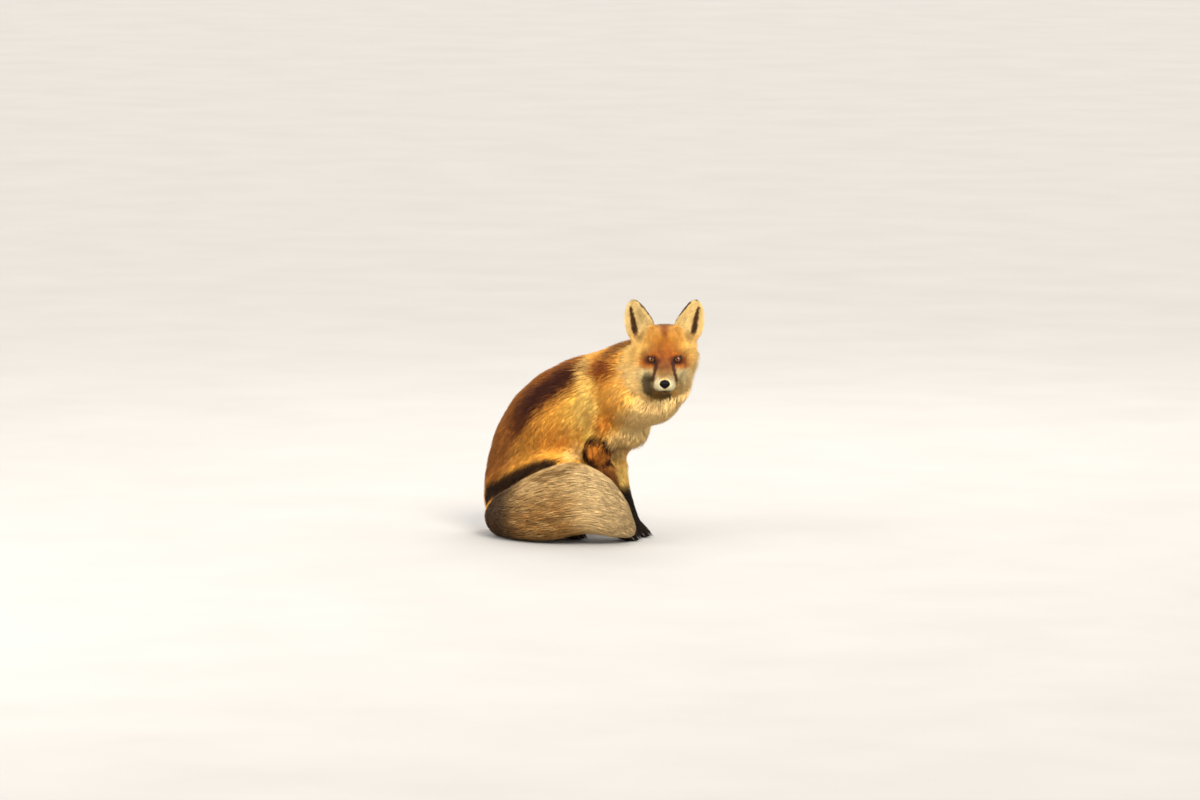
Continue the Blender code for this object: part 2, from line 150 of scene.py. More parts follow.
def along(line, points):
    """Distance to a line, its direction at the nearest place, and its two hair values there."""
    knots = np.array(line)
    best = np.full(len(points), np.inf)
    run, fur = np.zeros((len(points), 3)), np.zeros((len(points), 2))
    for a, b in zip(knots[:-1], knots[1:]):
        leg = b[:3] - a[:3]
        t = np.clip((points - a[:3]) @ leg / (leg @ leg), 0, 1)
        gap = np.linalg.norm(points - (a[:3] + t[:, None] * leg), axis=1)
        nearer = gap < best
        best[nearer] = gap[nearer]
        run[nearer] = leg / np.linalg.norm(leg)
        fur[nearer] = (a[3:] + t[:, None] * (b[3:] - a[3:]))[nearer]
    return best, run, fur


def head_lie(local):
    """Hair on the head runs back from the nose, and down on the cheeks."""
    run = unit(local - np.array((.086, 0, -.028)))
    cheek = step(.030, .065, np.abs(local[:, 1])) * step(.03, -.01, local[:, 2])
    run[:, 2] -= .55 * cheek + .3 * step(-.045, -.06, local[:, 2])
    return run


def head_fur(local):
    """Length and depth of the hair on the head, in millimetres."""
    x, y, z = one_side(local).T
    back = step(.035, -.045, x)                       # 0 on the muzzle, 1 behind the eyes
    cheek = step(.034, .068, y) * step(.045, .0, z)
    low = step(-.045, -.085, z) * step(.02, -.04, x)
    crown = step(.035, .075, z) * step(.06, .02, y)
    nape = step(-.055, -.100, x)
    length = 5 + 5 * back + 17 * np.maximum(cheek, low) + 5 * crown + 12 * nape
    depth = 1.5 + 2.5 * back + 12 * np.maximum(cheek, low) * back + 3 * crown * back + 4 * nape
    eye = bulge(one_side(local), (0, .027, .0), (.030, .020, .016), .4)
    return np.array((length * (1 - eye) + 3.6 * eye, depth * (1 - eye) + 1.0 * eye)).T


def ear_lie(local, facing):
    """Up the back of each ear; in the bowl, from its inner edge up and outwards."""
    out = np.sign(local[:, 1])
    bowl = step(-.1, .3, facing)
    return np.array((np.full(len(local), -.25), out * (.22 + .30 * bowl), np.ones(len(local)))).T


def ear_fur(local, facing):
    """Long hair fills the inner half of the bowl; the back and the edges are short."""
    rise = local[:, 2] * math.cos(FACE_TILT) - local[:, 0] * math.sin(FACE_TILT)
    bowl = step(.0, .4, facing) * step(.125, .095, rise)
    inner = step(.016, .004, np.abs(local[:, 1]) - np.interp(rise, (.07, .13), (.030, .060)))
    return np.array((6 + 9 * bowl * (.35 + .65 * inner), 1.4 + 2.6 * bowl * inner)).T


def coat(points, normals, groups):
    """The way the hair runs at each place, its length and the coat's depth."""
    run, fur = np.zeros((len(points), 3)), np.ones((len(points), 2)) * (7, 1.2)
    top = back_height(points)
    for group, guides in GUIDES.items():
        here = groups == group
        place, total = points[here], np.zeros(here.sum())
        way_sum, fur_sum = np.zeros((len(place), 3)), np.zeros((len(place), 2))
        for name, line in LIE.items():
            kind = name.split("_")[0]
            if kind not in guides:
                continue
            gap, way, hair = along(line, place)
            weight = (REACH[kind] / np.maximum(gap, .004)) ** 5
            if kind == "spine":                        # on the flanks it falls as it runs back
                fall = .95 * step(.0, .10, top[here] - place[:, 2])
                way = way + fall[:, None] * np.array((0, 0, -1.0))
            total += weight
            way_sum += weight[:, None] * way
            fur_sum += weight[:, None] * hair
        run[here], fur[here] = unit(way_sum), fur_sum / total[:, None]
    local, facing = in_head(points), (normals @ HEAD_AXES)[:, 0]
    here = groups == "head"
    fringe = bulge(one_side(local), (-.040, .044, .056), (.026, .034, .024), .6)[:, None]
    run[here], fur[here] = head_lie(local[here]) @ HEAD_AXES.T, head_fur(local[here])
    rising = ear_lie(local, np.zeros(len(local))) @ HEAD_AXES.T
    run[here] = unit(run[here]) + 1.6 * (fringe * unit(rising))[here]
    fur[here] += (fringe * (3, .3))[here]
    here = groups == "ear"
    run[here] = ear_lie(local[here], facing[here]) @ HEAD_AXES.T
    fur[here] = ear_fur(local[here], facing[here])
    return unit(run), fur[:, 0] * MM, fur[:, 1] * MM


def back_height(points):
    """Height of the line of the back over each place."""
    knots = np.array(LIE["spine"])[::-1]
    return np.interp(points[:, 0], knots[:, 0], knots[:, 2] + .06)


class Solids:
    """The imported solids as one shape, to find which part of the fox is nearest a place."""

    def __init__(self):
        places, faces, self.owner = [], [], []
        for name, group in GROUPS.items():
            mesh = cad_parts[name].data
            faces += [[v + len(places) for v in face.vertices] for face in mesh.polygons]
            places += [v.co[:] for v in mesh.vertices]
            self.owner += [group] * len(mesh.polygons)
        self.tree = BVHTree.FromPolygons(places, faces)
        self.owner = np.array(self.owner)

    def groups(self, points):
        return self.owner[[self.tree.find_nearest(p)[2] for p in points.tolist()]]


# ---------------------------------------------------------------- small tools

def only(obj):
    """Selects one object and nothing else."""
    bpy.ops.object.select_all(action="DESELECT")
    obj.select_set(True)
    bpy.context.view_layer.objects.active = obj


def apply_modifier(obj, kind, **settings):
    only(obj)
    modifier = obj.modifiers.new(kind.title(), kind)
    for name, value in settings.items():
        setattr(modifier, name, value)
    bpy.ops.object.modifier_apply(modifier=modifier.name)


def join(objects, name):
    bpy.ops.object.select_all(action="DESELECT")
    for obj in objects:
        obj.select_set(True)
    bpy.context.view_layer.objects.active = objects[0]
    bpy.ops.object.join()
    objects[0].name = objects[0].data.name = name
    return objects[0]


def in_scene(name, mesh):
    obj = bpy.data.objects.new(name, mesh)
    bpy.context.scene.collection.objects.link(obj)
    return obj


def corners(obj):
    co = np.zeros(len(obj.data.vertices) * 3)
    obj.data.vertices.foreach_get("co", co)
    return co.reshape(-1, 3)


def move_corners(obj, co):
    obj.data.vertices.foreach_set("co", np.ascontiguousarray(co, np.float32).ravel())
    obj.data.update()


def corner_normals(obj):
    out = np.zeros(len(obj.data.vertices) * 3)
    obj.data.vertex_normals.foreach_get("vector", out)
    return out.reshape(-1, 3)


def corner_faces(obj):
    """A mesh's triangles as (n, 3) corner numbers."""
    obj.data.calc_loop_triangles()
    faces = np.zeros(len(obj.data.loop_triangles) * 3, int)
    obj.data.loop_triangles.foreach_get("vertices", faces)
    return faces.reshape(-1, 3)


def smoothed(obj, values, rounds, share=.5):
    """Each corner's value drawn towards its neighbours'."""
    edges = np.zeros(len(obj.data.edges) * 2, int)
    obj.data.edges.foreach_get("vertices", edges)
    a, b = edges.reshape(-1, 2).T
    count = np.maximum(np.bincount(edges, minlength=len(values)), 1)[:, None]
    for _ in range(rounds):
        near = np.zeros_like(values)
        for k in range(values.shape[1]):
            near[:, k] = (np.bincount(a, values[b, k], len(values))
                          + np.bincount(b, values[a, k], len(values)))
        values = values + share * (near / count - values)
    return values


# ---------------------------------------------------------------- skin

SWELL = .7 * MM                # closes the thin cuts between the solids
ROUGH_GRAIN = 3.0 * MM
FINE_GRAIN = 1.5 * MM
SINK_STEPS = 8
EAR_SINK = .9 * MM
EAR_ROOT = 14 * MM             # how far the foot of each ear runs down into the head
HEAD_MIDDLE = np.array((-.050, 0, 0))
BRISKET_TRIM = 9 * MM
BOWL_DIP = 12 * MM             # how far the crown dips in front of each ear
SPARED_FACES, SKIN_SHARE = .15, .20
LID = 1.5 * MM
EYE_SPLAY, EYE_LIFT = math.radians(14), math.radians(6)
EYE_SLANT = math.radians(22)
EYE_SLIT = (9.2 * MM, 5.0 * MM)          # half width and half height of the opening
TOE_GAP = 8.9 * MM
TOE_SET_BACK = {1: .0125, 3: .0215}      # inner and outer toes, behind the paw's front
TOE_HEIGHT, TOE_RADII = .0088, (.0115, .0046, .0082)
FLESH = sorted(GROUPS)
EARS = ["ear_left", "ear_right"]


def flesh_copy(name, swell):
    """A merged copy of a solid, grown by swell."""
    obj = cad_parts[name].copy()
    obj.data = obj.data.copy()
    obj.parent = None
    for key in list(obj.keys()):
        del obj[key]
    bpy.context.scene.collection.objects.link(obj)
    body = bmesh.new()
    body.from_mesh(obj.data)
    bmesh.ops.remove_doubles(body, verts=body.verts, dist=1e-5)
    body.normal_update()
    for corner in body.verts:
        corner.co += corner.normal * swell
    body.to_mesh(obj.data)
    body.free()
    obj.data.materials.clear()
    return obj


def ear_feet(points):
    """1 round the feet of the ears, where the ears join the head."""
    return bulge(one_side(in_head(points)), (-.052, .050, .052), (.034, .040, .040), .4)


def under_bowls(points):
    """1 on the crown in front of the bowl of each ear, where it dips to show the bowl."""
    return bulge(one_side(in_head(points)), (-.036, .051, .054), (.024, .017, .020), .6)


def sink(obj, solids):
    """Draws the surface in by the depth of the coat, a little at a time."""
    where = corners(obj)
    depth = coat(where, corner_normals(obj), solids.groups(where))[2]
    depth = depth * (1 - .9 * ear_feet(where)) + BOWL_DIP * under_bowls(where)
    depth = depth + BRISKET_TRIM * bulge(where, (.130, .056, .226), (.030, .050, .030), .6)
    depth = smoothed(obj, depth[:, None], 8)
    for _ in range(SINK_STEPS):
        where = where - corner_normals(obj) * depth / SINK_STEPS
        move_corners(obj, smoothed(obj, where, 2, .4))
        where = corners(obj)


def eye_turn(side):
    """The way an eye's opening faces: its own x axis, with y along the slit."""
    out = 1 if side == "left" else -1
    return HEAD_TURN @ Euler((out * EYE_SLANT, -EYE_LIFT, out * EYE_SPLAY)).to_matrix()


def slit_reach(points):
    """How far each place is from the middle of its eye's slit; 1 on the edge of the lids."""
    reach = np.full(len(points), np.inf)
    for side, centre in EYES.items():
        near = (points - np.array(centre)) @ np.array(eye_turn(side))
        far = np.hypot(near[:, 1] / EYE_SLIT[0], near[:, 2] / EYE_SLIT[1])
        reach = np.minimum(reach, np.where(near[:, 0] > 0, far, np.inf))
    return reach


def lid_balls():
    for centre in EYES.values():
        bpy.ops.mesh.primitive_uv_sphere_add(segments=48, ring_count=32, radius=EYE_RADIUS + LID,
                                             location=centre)
        yield bpy.context.object


def toe_places():
    """x and y of the middle of every toe, from the paws' solids."""
    for paw in ("front_paw_left", "front_paw_right", "hind_paw_left", "hind_paw_right"):
        low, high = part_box(paw)
        for k in (-3, -1, 1, 3):
            yield high.x - TOE_SET_BACK[abs(k)], (high.y + low.y) / 2 + k * TOE_GAP / 2


def toes():
    for x, y in toe_places():
        bpy.ops.mesh.primitive_uv_sphere_add(segments=24, ring_count=16, radius=1,
                                             location=(x, y, TOE_HEIGHT))
        bpy.context.object.scale = TOE_RADII
        bpy.ops.object.transform_apply(location=False, rotation=False, scale=True)
        yield bpy.context.object


def cut_eye_slits(skin):
    """Opens an almond through each pair of lids, down to the eyeball."""
    wide, tall = EYE_SLIT
    for side, centre in EYES.items():
        bpy.ops.mesh.primitive_circle_add(vertices=40, radius=1, fill_type="NGON")
        slit = bpy.context.object
        for corner in slit.data.vertices:
            turn = math.atan2(corner.co.y, corner.co.x)
            share = math.cos(turn)
            rise = tall * max(0, 1 - share * share) ** .72 * math.copysign(1, math.sin(turn))
            corner.co = Vector((2.4 * MM, share * wide, rise * (1 if rise > 0 else .92)))
        bpy.ops.object.mode_set(mode="EDIT")
        bpy.ops.mesh.select_all(action="SELECT")
        bpy.ops.mesh.extrude_region_move(TRANSFORM_OT_translate={"value": (14 * MM, 0, 0)})
        bpy.ops.mesh.select_all(action="SELECT")
        bpy.ops.mesh.normals_make_consistent(inside=False)
        bpy.ops.object.mode_set(mode="OBJECT")
        slit.data.transform(Matrix.Translation(centre) @ eye_turn(side).to_4x4())
        apply_modifier(skin, "BOOLEAN", operation="DIFFERENCE", solver="EXACT", object=slit)
        bpy.data.objects.remove(slit)


def lip_gap(local):
    """Signed height of each place over the line where the lips meet."""
    x, y = local[:, 0], np.abs(local[:, 1])
    line = np.interp(x, (.010, .030, .060, .085), (-.0480, -.0515, -.0520, -.0505))
    return local[:, 2] - line - .0012 * step(.010, .002, y) * step(.06, .075, x)


def part_lips(skin):
    """Presses a narrow groove along the lips and a soft fold beside the nose."""
    where = corners(skin)
    local = in_head(where)
    x, y = local[:, 0], np.abs(local[:, 1])
    muzzle = step(.006, .020, x) * step(-.09, -.07, local[:, 2])
    groove = 1.5 * MM * muzzle * np.exp(-(lip_gap(local) / (1.3 * MM)) ** 2)
    cleft = 1.0 * MM * step(.060, .070, x) * np.exp(-(y / (1.1 * MM)) ** 2)
    cleft = cleft * step(-.052, -.046, local[:, 2])
    brow = 1.2 * MM * bulge(one_side(local), (.004, .028, .0125), (.014, .014, .004), .6)
    move_corners(skin, where - corner_normals(skin) * (groove + cleft - brow)[:, None])


def fewer_faces(skin):
    """Thins the skin's faces, least on the face."""
    local = in_head(corners(skin))
    face = (local[:, 0] > -.05) & (np.abs(local[:, 1]) < .06)
    face &= (local[:, 2] > -.08) & (local[:, 2] < .06)
    spared = skin.vertex_groups.new(name="spared")
    spared.add(np.flatnonzero(~face).tolist(), 1.0, "REPLACE")
    spared.add(np.flatnonzero(face).tolist(), SPARED_FACES, "REPLACE")
    apply_modifier(skin, "DECIMATE", ratio=SKIN_SHARE, vertex_group="spared")
    skin.vertex_groups.clear()


def make_skin(solids):
    """Returns the skin, and the outline that the tips of the coat reach."""
    body = join([flesh_copy(n, SWELL) for n in FLESH if n not in EARS], "skin")
    apply_modifier(body, "REMESH", mode="VOXEL", voxel_size=ROUGH_GRAIN)
    move_corners(body, smoothed(body, corners(body), 6))
    outline = BVHTree.FromPolygons(corners(body).tolist(), corner_faces(body).tolist())
    sink(body, solids)
    ears = []
    for name in EARS:
        ear = flesh_copy(name, 0)
        apply_modifier(ear, "SUBSURF", levels=2, render_levels=2)
        move_corners(ear, corners(ear) - corner_normals(ear) * EAR_SINK)
        where = corners(ear)
        to_head = np.array([outline.find_nearest(p)[3] for p in where.tolist()])
        inward = unit(np.array(HEAD_ORIGIN) + HEAD_AXES @ HEAD_MIDDLE - where)
        move_corners(ear, where + inward * (EAR_ROOT * step(.012, .001, to_head))[:, None])
        ears.append(ear)
    skin = join([body, *ears, *lid_balls(), *toes()], "skin")
    apply_modifier(skin, "REMESH", mode="VOXEL", voxel_size=FINE_GRAIN)
    move_corners(skin, smoothed(skin, corners(skin), 3))
    where, soft = corners(skin), smoothed(skin, corners(skin), 24)
    front = step(-.075, -.055, in_head(where)[:, 0])
    move_corners(skin, where + (soft - where) * (ear_feet(where) * front)[:, None])
    part_lips(skin)
    fewer_faces(skin)
    cut_eye_slits(skin)
    skin.data.shade_smooth()
    return skin, outline


# ---------------------------------------------------------------- markings

GOLD, CREAM, WHITE_FUR = (250, 175, 70), (250, 208, 134), (253, 228, 170)
RUST, MAHOGANY = (246, 164, 64), (60, 25, 5)
BROWN, OLIVE, SOOT, BLACK = (122, 68, 26), (114, 70, 28), (44, 29, 17), (30, 21, 13)
BRUSH, BRUSH_PALE, BRUSH_DARK = (186, 150, 98), (218, 186, 130), (116, 84, 46)
MARK_LINES = {                   # x and z on the body; y and height on the face
    # dark fur down the back, partly painted shadow of the head
    "saddle_and_head_shadow": [(-.040, .350), (-.084, .321), (-.132, .280), (-.168, .238)],
    "rump": [(-.165, .245), (-.190, .187), (-.205, .120)],
    "stripe": [(-.006, .378), (.011, .341), (.024, .291), (.012, .235)],
    "shoulder": [(.060, .330), (.072, .285), (.072, .240)],
    "tear": [(.0178, -.010), (.0203, -.025), (.0258, -.044)],
    # painted shade down the hollow of each ear's bowl
    "ear_hollow_shade": [(.0715, .110), (.0625, .060)],
    "ear_rim": [(.0200, .080), (.0320, .097), (.0438, .1118), (.0550, .1255), (.0630, .1300),
                (.0720, .1285)],
    # painted shadow of the muzzle on the right cheek and under the chin, over some dark fur
    "crescent": [(-.0345, -.032), (-.0395, -.046), (-.0360, -.064), (-.0160, -.077), (.006, -.078)],
}
# the line of the dark band where the brush starts: dark fur, and painted shade of the gap between haunch
# and brush
TAIL_DARK_FUR_AND_SHADE = [(-.252, .004, .068, 0, 0), (-.202, -.045, .095, 0, 0),
              (-.092, -.050, .149, 0, 0), (-.060, -.050, .156, 0, 0)]


def line_gap(points, line):
    """Distance in a plane from points to a bent line."""
    best = np.full(len(points), np.inf)
    knots = np.array(line)
    for a, b in zip(knots[:-1], knots[1:]):
        t = np.clip((points - a) @ (b - a) / ((b - a) @ (b - a)), 0, 1)
        best = np.minimum(best, np.linalg.norm(points - a - t[:, None] * (b - a), axis=1))
    return best


def ripple(points, seed, size):
    """Smooth wandering values from -1 to 1, with waves about `size` long."""
    rng = np.random.default_rng(seed)
    total = np.zeros(len(points))
    for _ in range(6):
        wave = rng.normal(size=3)
        wave *= rng.uniform(.6, 1.6) * math.tau / (size * np.linalg.norm(wave))
        total += np.sin(points @ wave + rng.uniform(0, math.tau))
    return np.clip(total / 3, -1, 1)


class Paint:
    """Layers of colour laid over one another."""

    def __init__(self, count, ground):
        self.tone = np.tile(np.array(ground, float), (count, 1))

    def lay(self, colour, cover):
        cover = np.clip(cover, 0, 1)[:, None]
        self.tone += (np.array(colour) - self.tone) * cover


def body_markings(points, normals):
    x, y, z = points.T
    side = np.abs(y - MID_Y)
    flat = np.array((x, z)).T + .005 * np.array((ripple(points, 11, .03), ripple(points, 12, .03))).T
    coat_paint = Paint(len(points), GOLD)
    lay = coat_paint.lay
    top = back_height(points)
    lay((255, 202, 94), .9 * bulge(flat, (.016, .268), (.050, .080), .8))
    lay((180, 122, 50), .75 * step(-.06, -.15, x) * step(.04, .10, z))
    lay((158, 102, 48), .75 * (1 - step(.010, .050, line_gap(flat, MARK_LINES["rump"]))))
    lay((146, 88, 36), .85 * step(.050, .0, top - z) * step(-.01, -.05, x))
    # dark saddle down the back: dark fur, partly painted shadow of the head
    saddle_and_head_shadow = line_gap(flat, MARK_LINES["saddle_and_head_shadow"])
    lay(BROWN, .80 * (1 - step(.018, .056, saddle_and_head_shadow)) * step(-.23, -.15, x))
    lay(MAHOGANY, .97 * (1 - step(.010, .034, saddle_and_head_shadow)) * step(-.20, -.12, x))
    stripe = line_gap(flat, MARK_LINES["stripe"])
    stripe = stripe / np.interp(z, (.25, .29, .34, .37), (1.6, 1.6, 1.15, 1.0))
    lay((252, 206, 110), .92 * (1 - step(.008, .022, stripe)) * step(.20, .27, z))
    lay((180, 144, 88), .80 * (1 - step(.005, .016, stripe)) * step(.34, .37, z))
    lay(RUST, .40 * (1 - step(.008, .040, line_gap(flat, MARK_LINES["shoulder"]))))
    lay((176, 98, 30), .70 * bulge(flat, (.070, .244), (.028, .026), .8))
    # dark rust patch high on the neck: rust fur, partly painted shadow of the head
    lay((116, 50, 10), .92 * bulge(flat, (.048, .367), (.032, .025), .8))
    lay((222, 166, 80), .9 * step(.075, .100, x) * step(.27, .32, z) * step(.0, -.02, z - top - .02))
    lay(OLIVE, .85 * step(.026, .0, top + .02 - z) * step(.02, .06, x))
    # bib, from the chin to the brisket
    axis_x = np.interp(z, (.14, .19, .24, .31), (-.03, .010, .070, .116))
    axis_y = np.interp(z, (.24, .33), (MID_Y - .004, MID_Y - .026))
    front = x - axis_x
    facing = front / np.maximum(np.hypot(front, y - axis_y), 1e-6)
    bib = step(.13, .19, z) * step(.42, .36, z)
    lay((252, 194, 96), bib * step(.0, .35, facing))
    lay(CREAM, bib * step(.20, .62, facing))
    lay(WHITE_FUR, .20 * bib * step(.6, .95, facing))
    lay(CREAM, .6 * step(-.3, -.8, normals[:, 2]) * step(.12, .16, z))
    # upper foreleg: an orange patch framed by a dark arch
    arch = np.linalg.norm((flat - (.0405, .181)) / (.0272, .036), axis=1)
    strict = np.where(y < MID_Y, 0, .55)
    outwards = normals[:, 1] * np.sign(y - MID_Y)
    outer = step(strict - .45, strict - .15, outwards) * step(.012, .026, side) * step(.084, .074, x)
    lay((236, 148, 58), outer * (1 - step(.80, 1.02, arch)))
    arch_band = .97 * outer * step(.58, .76, arch) * (1 - step(1.02, 1.24, arch))
    lay((50, 22, 5), arch_band * step(.130, .155, z))
    leg = step(.168, .140, z) * step(-.012, .004, x)
    lay((148, 88, 36), leg * np.maximum(step(.25, -.1, normals[:, 0]), y < MID_Y))
    lay((254, 204, 112), .95 * leg * step(-.1, .4, normals[:, 0]) * (y > MID_Y))
    lay((106, 62, 28), .85 * step(.148, .118, z) * step(-.012, .004, x)
        * np.maximum(step(.6, .0, normals[:, 0]), y < MID_Y))
    lay(BLACK, step(.118, .088, z) * step(-.012, .004, x))
    # hind feet, the pale knee, and the dark band where the brush starts: dark fur with painted shade of
    # the gap between haunch and brush
    foot = step(.062, .040, z) * step(-.17, -.15, x) * step(.052, .058, side)
    lay((150, 98, 52), foot)
    lay(SOOT, foot * step(-.06, -.03, x))
    lay(CREAM, .92 * bulge(flat, (-.010, .184), (.028, .016), .7)
        * step(.03, .05, side) * step(.012, .0, x))
    # dark fur and painted shade along the gap between haunch and brush
    lay(SOOT, .95 * (1 - step(.009, .021, along(TAIL_DARK_FUR_AND_SHADE, points)[0])))
    return coat_paint.tone


def brush_markings(points, normals):
    x = points[:, 0]
    brush_paint = Paint(len(points), BRUSH)
    lay = brush_paint.lay
    # darker underside of the brush: browner fur, with painted shade
    lay((146, 102, 52), .80 * step(.45, -.25, normals[:, 2]))
    # root end of the brush darker underneath: brown fur with painted shade
    lay((112, 80, 46), .60 * step(-.06, -.16, x) * step(.5, -.2, normals[:, 2]))
    # painted highlight along the top of the brush, towards its front
    lay((204, 170, 116), .7 * step(.1, .9, normals[:, 2]) * step(-.12, -.04, x))
    lay(BRUSH_DARK, .70 * step(.0, .8, ripple(points * (.35, 1, 1), 21, .022)))
    lay(BRUSH_PALE, .45 * step(.2, .9, ripple(points * (.35, 1, 1), 22, .018)))
    # root third of the brush darker all round: brown fur with painted shade, that end being turned from
    # the light
    lay((62, 43, 26), .85 * step(-.06, -.15, x))
    # dark fur and painted shade along the gap between haunch and brush
    lay(SOOT, .95 * (1 - step(.010, .022, along(TAIL_DARK_FUR_AND_SHADE, points)[0])))
    lay((236, 202, 144), .85 * step(.030, .095, x))
    return brush_paint.tone


def head_markings(points, normals):
    local = in_head(points)
    facing = (normals @ HEAD_AXES)[:, 0]
    x, across, z = local.T
    y = np.abs(across)
    rise = z * math.cos(FACE_TILT) - x * math.sin(FACE_TILT)
    waver = np.array((ripple(points, 61, .012), ripple(points, 62, .012))).T
    plan = np.array((y, rise)).T + .0012 * waver
    head_paint = Paint(len(points), (244, 194, 106))
    front = step(-.070, -.045, x) * step(-.5, -.1, facing)

    def lay(colour, cover):
        head_paint.lay(colour, cover * front)

    def patch(colour, cover, place, size, soft=.8):
        lay(colour, cover * bulge(plan, place, size, soft))

    head_paint.lay(GOLD, .45 * step(-.01, .04, rise) * step(.060, .02, y))
    head_paint.lay(CREAM, .85 * step(.012, -.035, rise) * step(.02, .045, y))
    head_paint.lay((158, 104, 50), .8 * step(.0, -.9, facing) * step(-.05, .05, z))
    patch((168, 106, 35), .92, (0, .034), (.034, .046))
    patch((163, 88, 31), .88, (0, .002), (.024, .030))
    patch((210, 151, 69), .75, (.015, .066), (.010, .016))
    patch((145, 76, 27), .85, (0, .066), (.0075, .016))
    head_paint.lay((98, 64, 34), .90 * step(.066, .080, rise) * step(.028, .012, y))
    # bridge, pads and cheeks
    patch((134, 80, 36), .9, (0, -.018), (.012, .016), .7)
    patch((166, 127, 68), .95, (0, -.041), (.018, .016), .7)
    lay((255, 236, 188), .95 * bulge(plan, (.013, -.056), (.018, .017), .5) * step(.01, .03, x))
    patch((255, 228, 164), .95, (.038, -.030), (.017, .017))
    # round the eyes, and the dark mark down from each
    patch((150, 74, 20), .85, (.030, .001), (.020, .016))
    patch((206, 106, 26), .85, (.039, -.008), (.012, .009))
    patch((83, 37, 13), .92, (.0268, -.0010), (.0150, .0095), .6)
    tear = line_gap(plan, MARK_LINES["tear"]) / np.interp(rise, (-.046, -.012), (.70, 1.05))
    lay((72, 30, 7), .92 * (1 - step(.0010, .0066, tear)) * step(-.054, -.040, rise))
    # painted shadow of the muzzle on the right cheek and under the chin, over some dark fur; this side
    # only
    cheek_shadow_and_fur = line_gap(np.array((across, rise)).T, MARK_LINES["crescent"])
    lay((70, 56, 34), .88 * (1 - step(.005, .0145, cheek_shadow_and_fur)) * step(-.020, -.044, rise))
    patch((108, 94, 64), .25, (.037, -.052), (.012, .022))
    # olive-brown chin below the lips: painted shade under the jaw
    lay((146, 106, 44), .85 * step(-.064, -.071, rise) * step(.034, .020, y) * step(-.03, .0, x))
    lips = .9 * np.exp(-(lip_gap(local) / .0016) ** 2) * step(.004, .014, x)
    lay((46, 34, 26), lips * (1 - step(.030, .040, y)))
    lay((42, 28, 19), .95 * step(1.75, 1.15, slit_reach(points)))
    # ears
    ear = step(.058, .070, z + .12 * (y - .05)) * step(.014, .024, y)
    low_bowl = step(.0, .008, y - np.interp(rise, (.030, .080), (.052, .023))) * step(.030, .044, rise)
    bowl = np.maximum(ear, low_bowl) * step(-.15, .2, facing) * step(-.095, -.085, x)
    head_paint.lay((203, 174, 116), .95 * bowl)
    head_paint.lay((192, 146, 74), .80 * bowl * step(.066, .042, rise))
    # painted shade down the hollow of each ear's bowl
    streak = line_gap(plan, MARK_LINES["ear_hollow_shade"])
    streak = streak / np.interp(rise, (.055, .075, .112), (1.1, 1.05, .50))
    streak = streak + .0014 * ripple(points, 63, .009)
    head_paint.lay((56, 32, 15), .92 * bowl * (1 - step(.0036, .0082, streak)))
    # painted shade at the foot of each ear's bowl
    head_paint.lay((150, 114, 64), .50 * bowl * bulge(plan, (.048, .050), (.013, .008), .7))
    rim = line_gap(plan, MARK_LINES["ear_rim"])
    head_paint.lay((52, 33, 18), .88 * ear * (1 - step(.0012, .0034, rim)))
    back_of_ear = step(.046, .082, z + .12 * (y - .05)) * step(.014, .024, y)
    head_paint.lay(SOOT, back_of_ear * step(-.02, -.3, facing))
    return head_paint.tone


def markings(points, normals, groups):
    """The colour of the fur at each place, in linear light; skin and hair share it."""
    tone = body_markings(points, normals)
    for group, mark in (("brush", brush_markings), ("head", head_markings), ("ear", head_markings)):
        here = groups == group
        tone[here] = mark(points[here], normals[here])
    tone *= 1 + .07 * ripple(points, 31, .022)[:, None]
    return (np.clip(tone, 2, 252) / 255) ** 2.2


# ---------------------------------------------------------------- hair

BAKE_PATCH = .003               # how much of the baking map each tuft takes up, along a side
SHUT_IN_REACH = 45 * MM
LID_MARGIN = 1.12               # no hair grows within this many slit sizes of an eye's middle
ROOT_SUNK = .6 * MM
CROWDING = {"foreleg": .86, "hindfoot": .9, "head": 2, "ear": 2, "brush": 1.28,
            "body": 1.56, "haunch": 1.56}
# tufts bend in three lengths where the hair is long, are straight where it is short, else bend once
LONG_HAIR = "coat_brush"
SHORT_HAIR = ("coat_face", "coat_cheek", "coat_ears", "coat_forelegs", "coat_hind_feet")
MOST_FACES = 198_000
UNDERCOAT = .34                 # share of the tufts that are short, broad and low
CLOSENESS = (.95, .62, .36, .195, .19)   # tufts to a square millimetre, by the hair's length


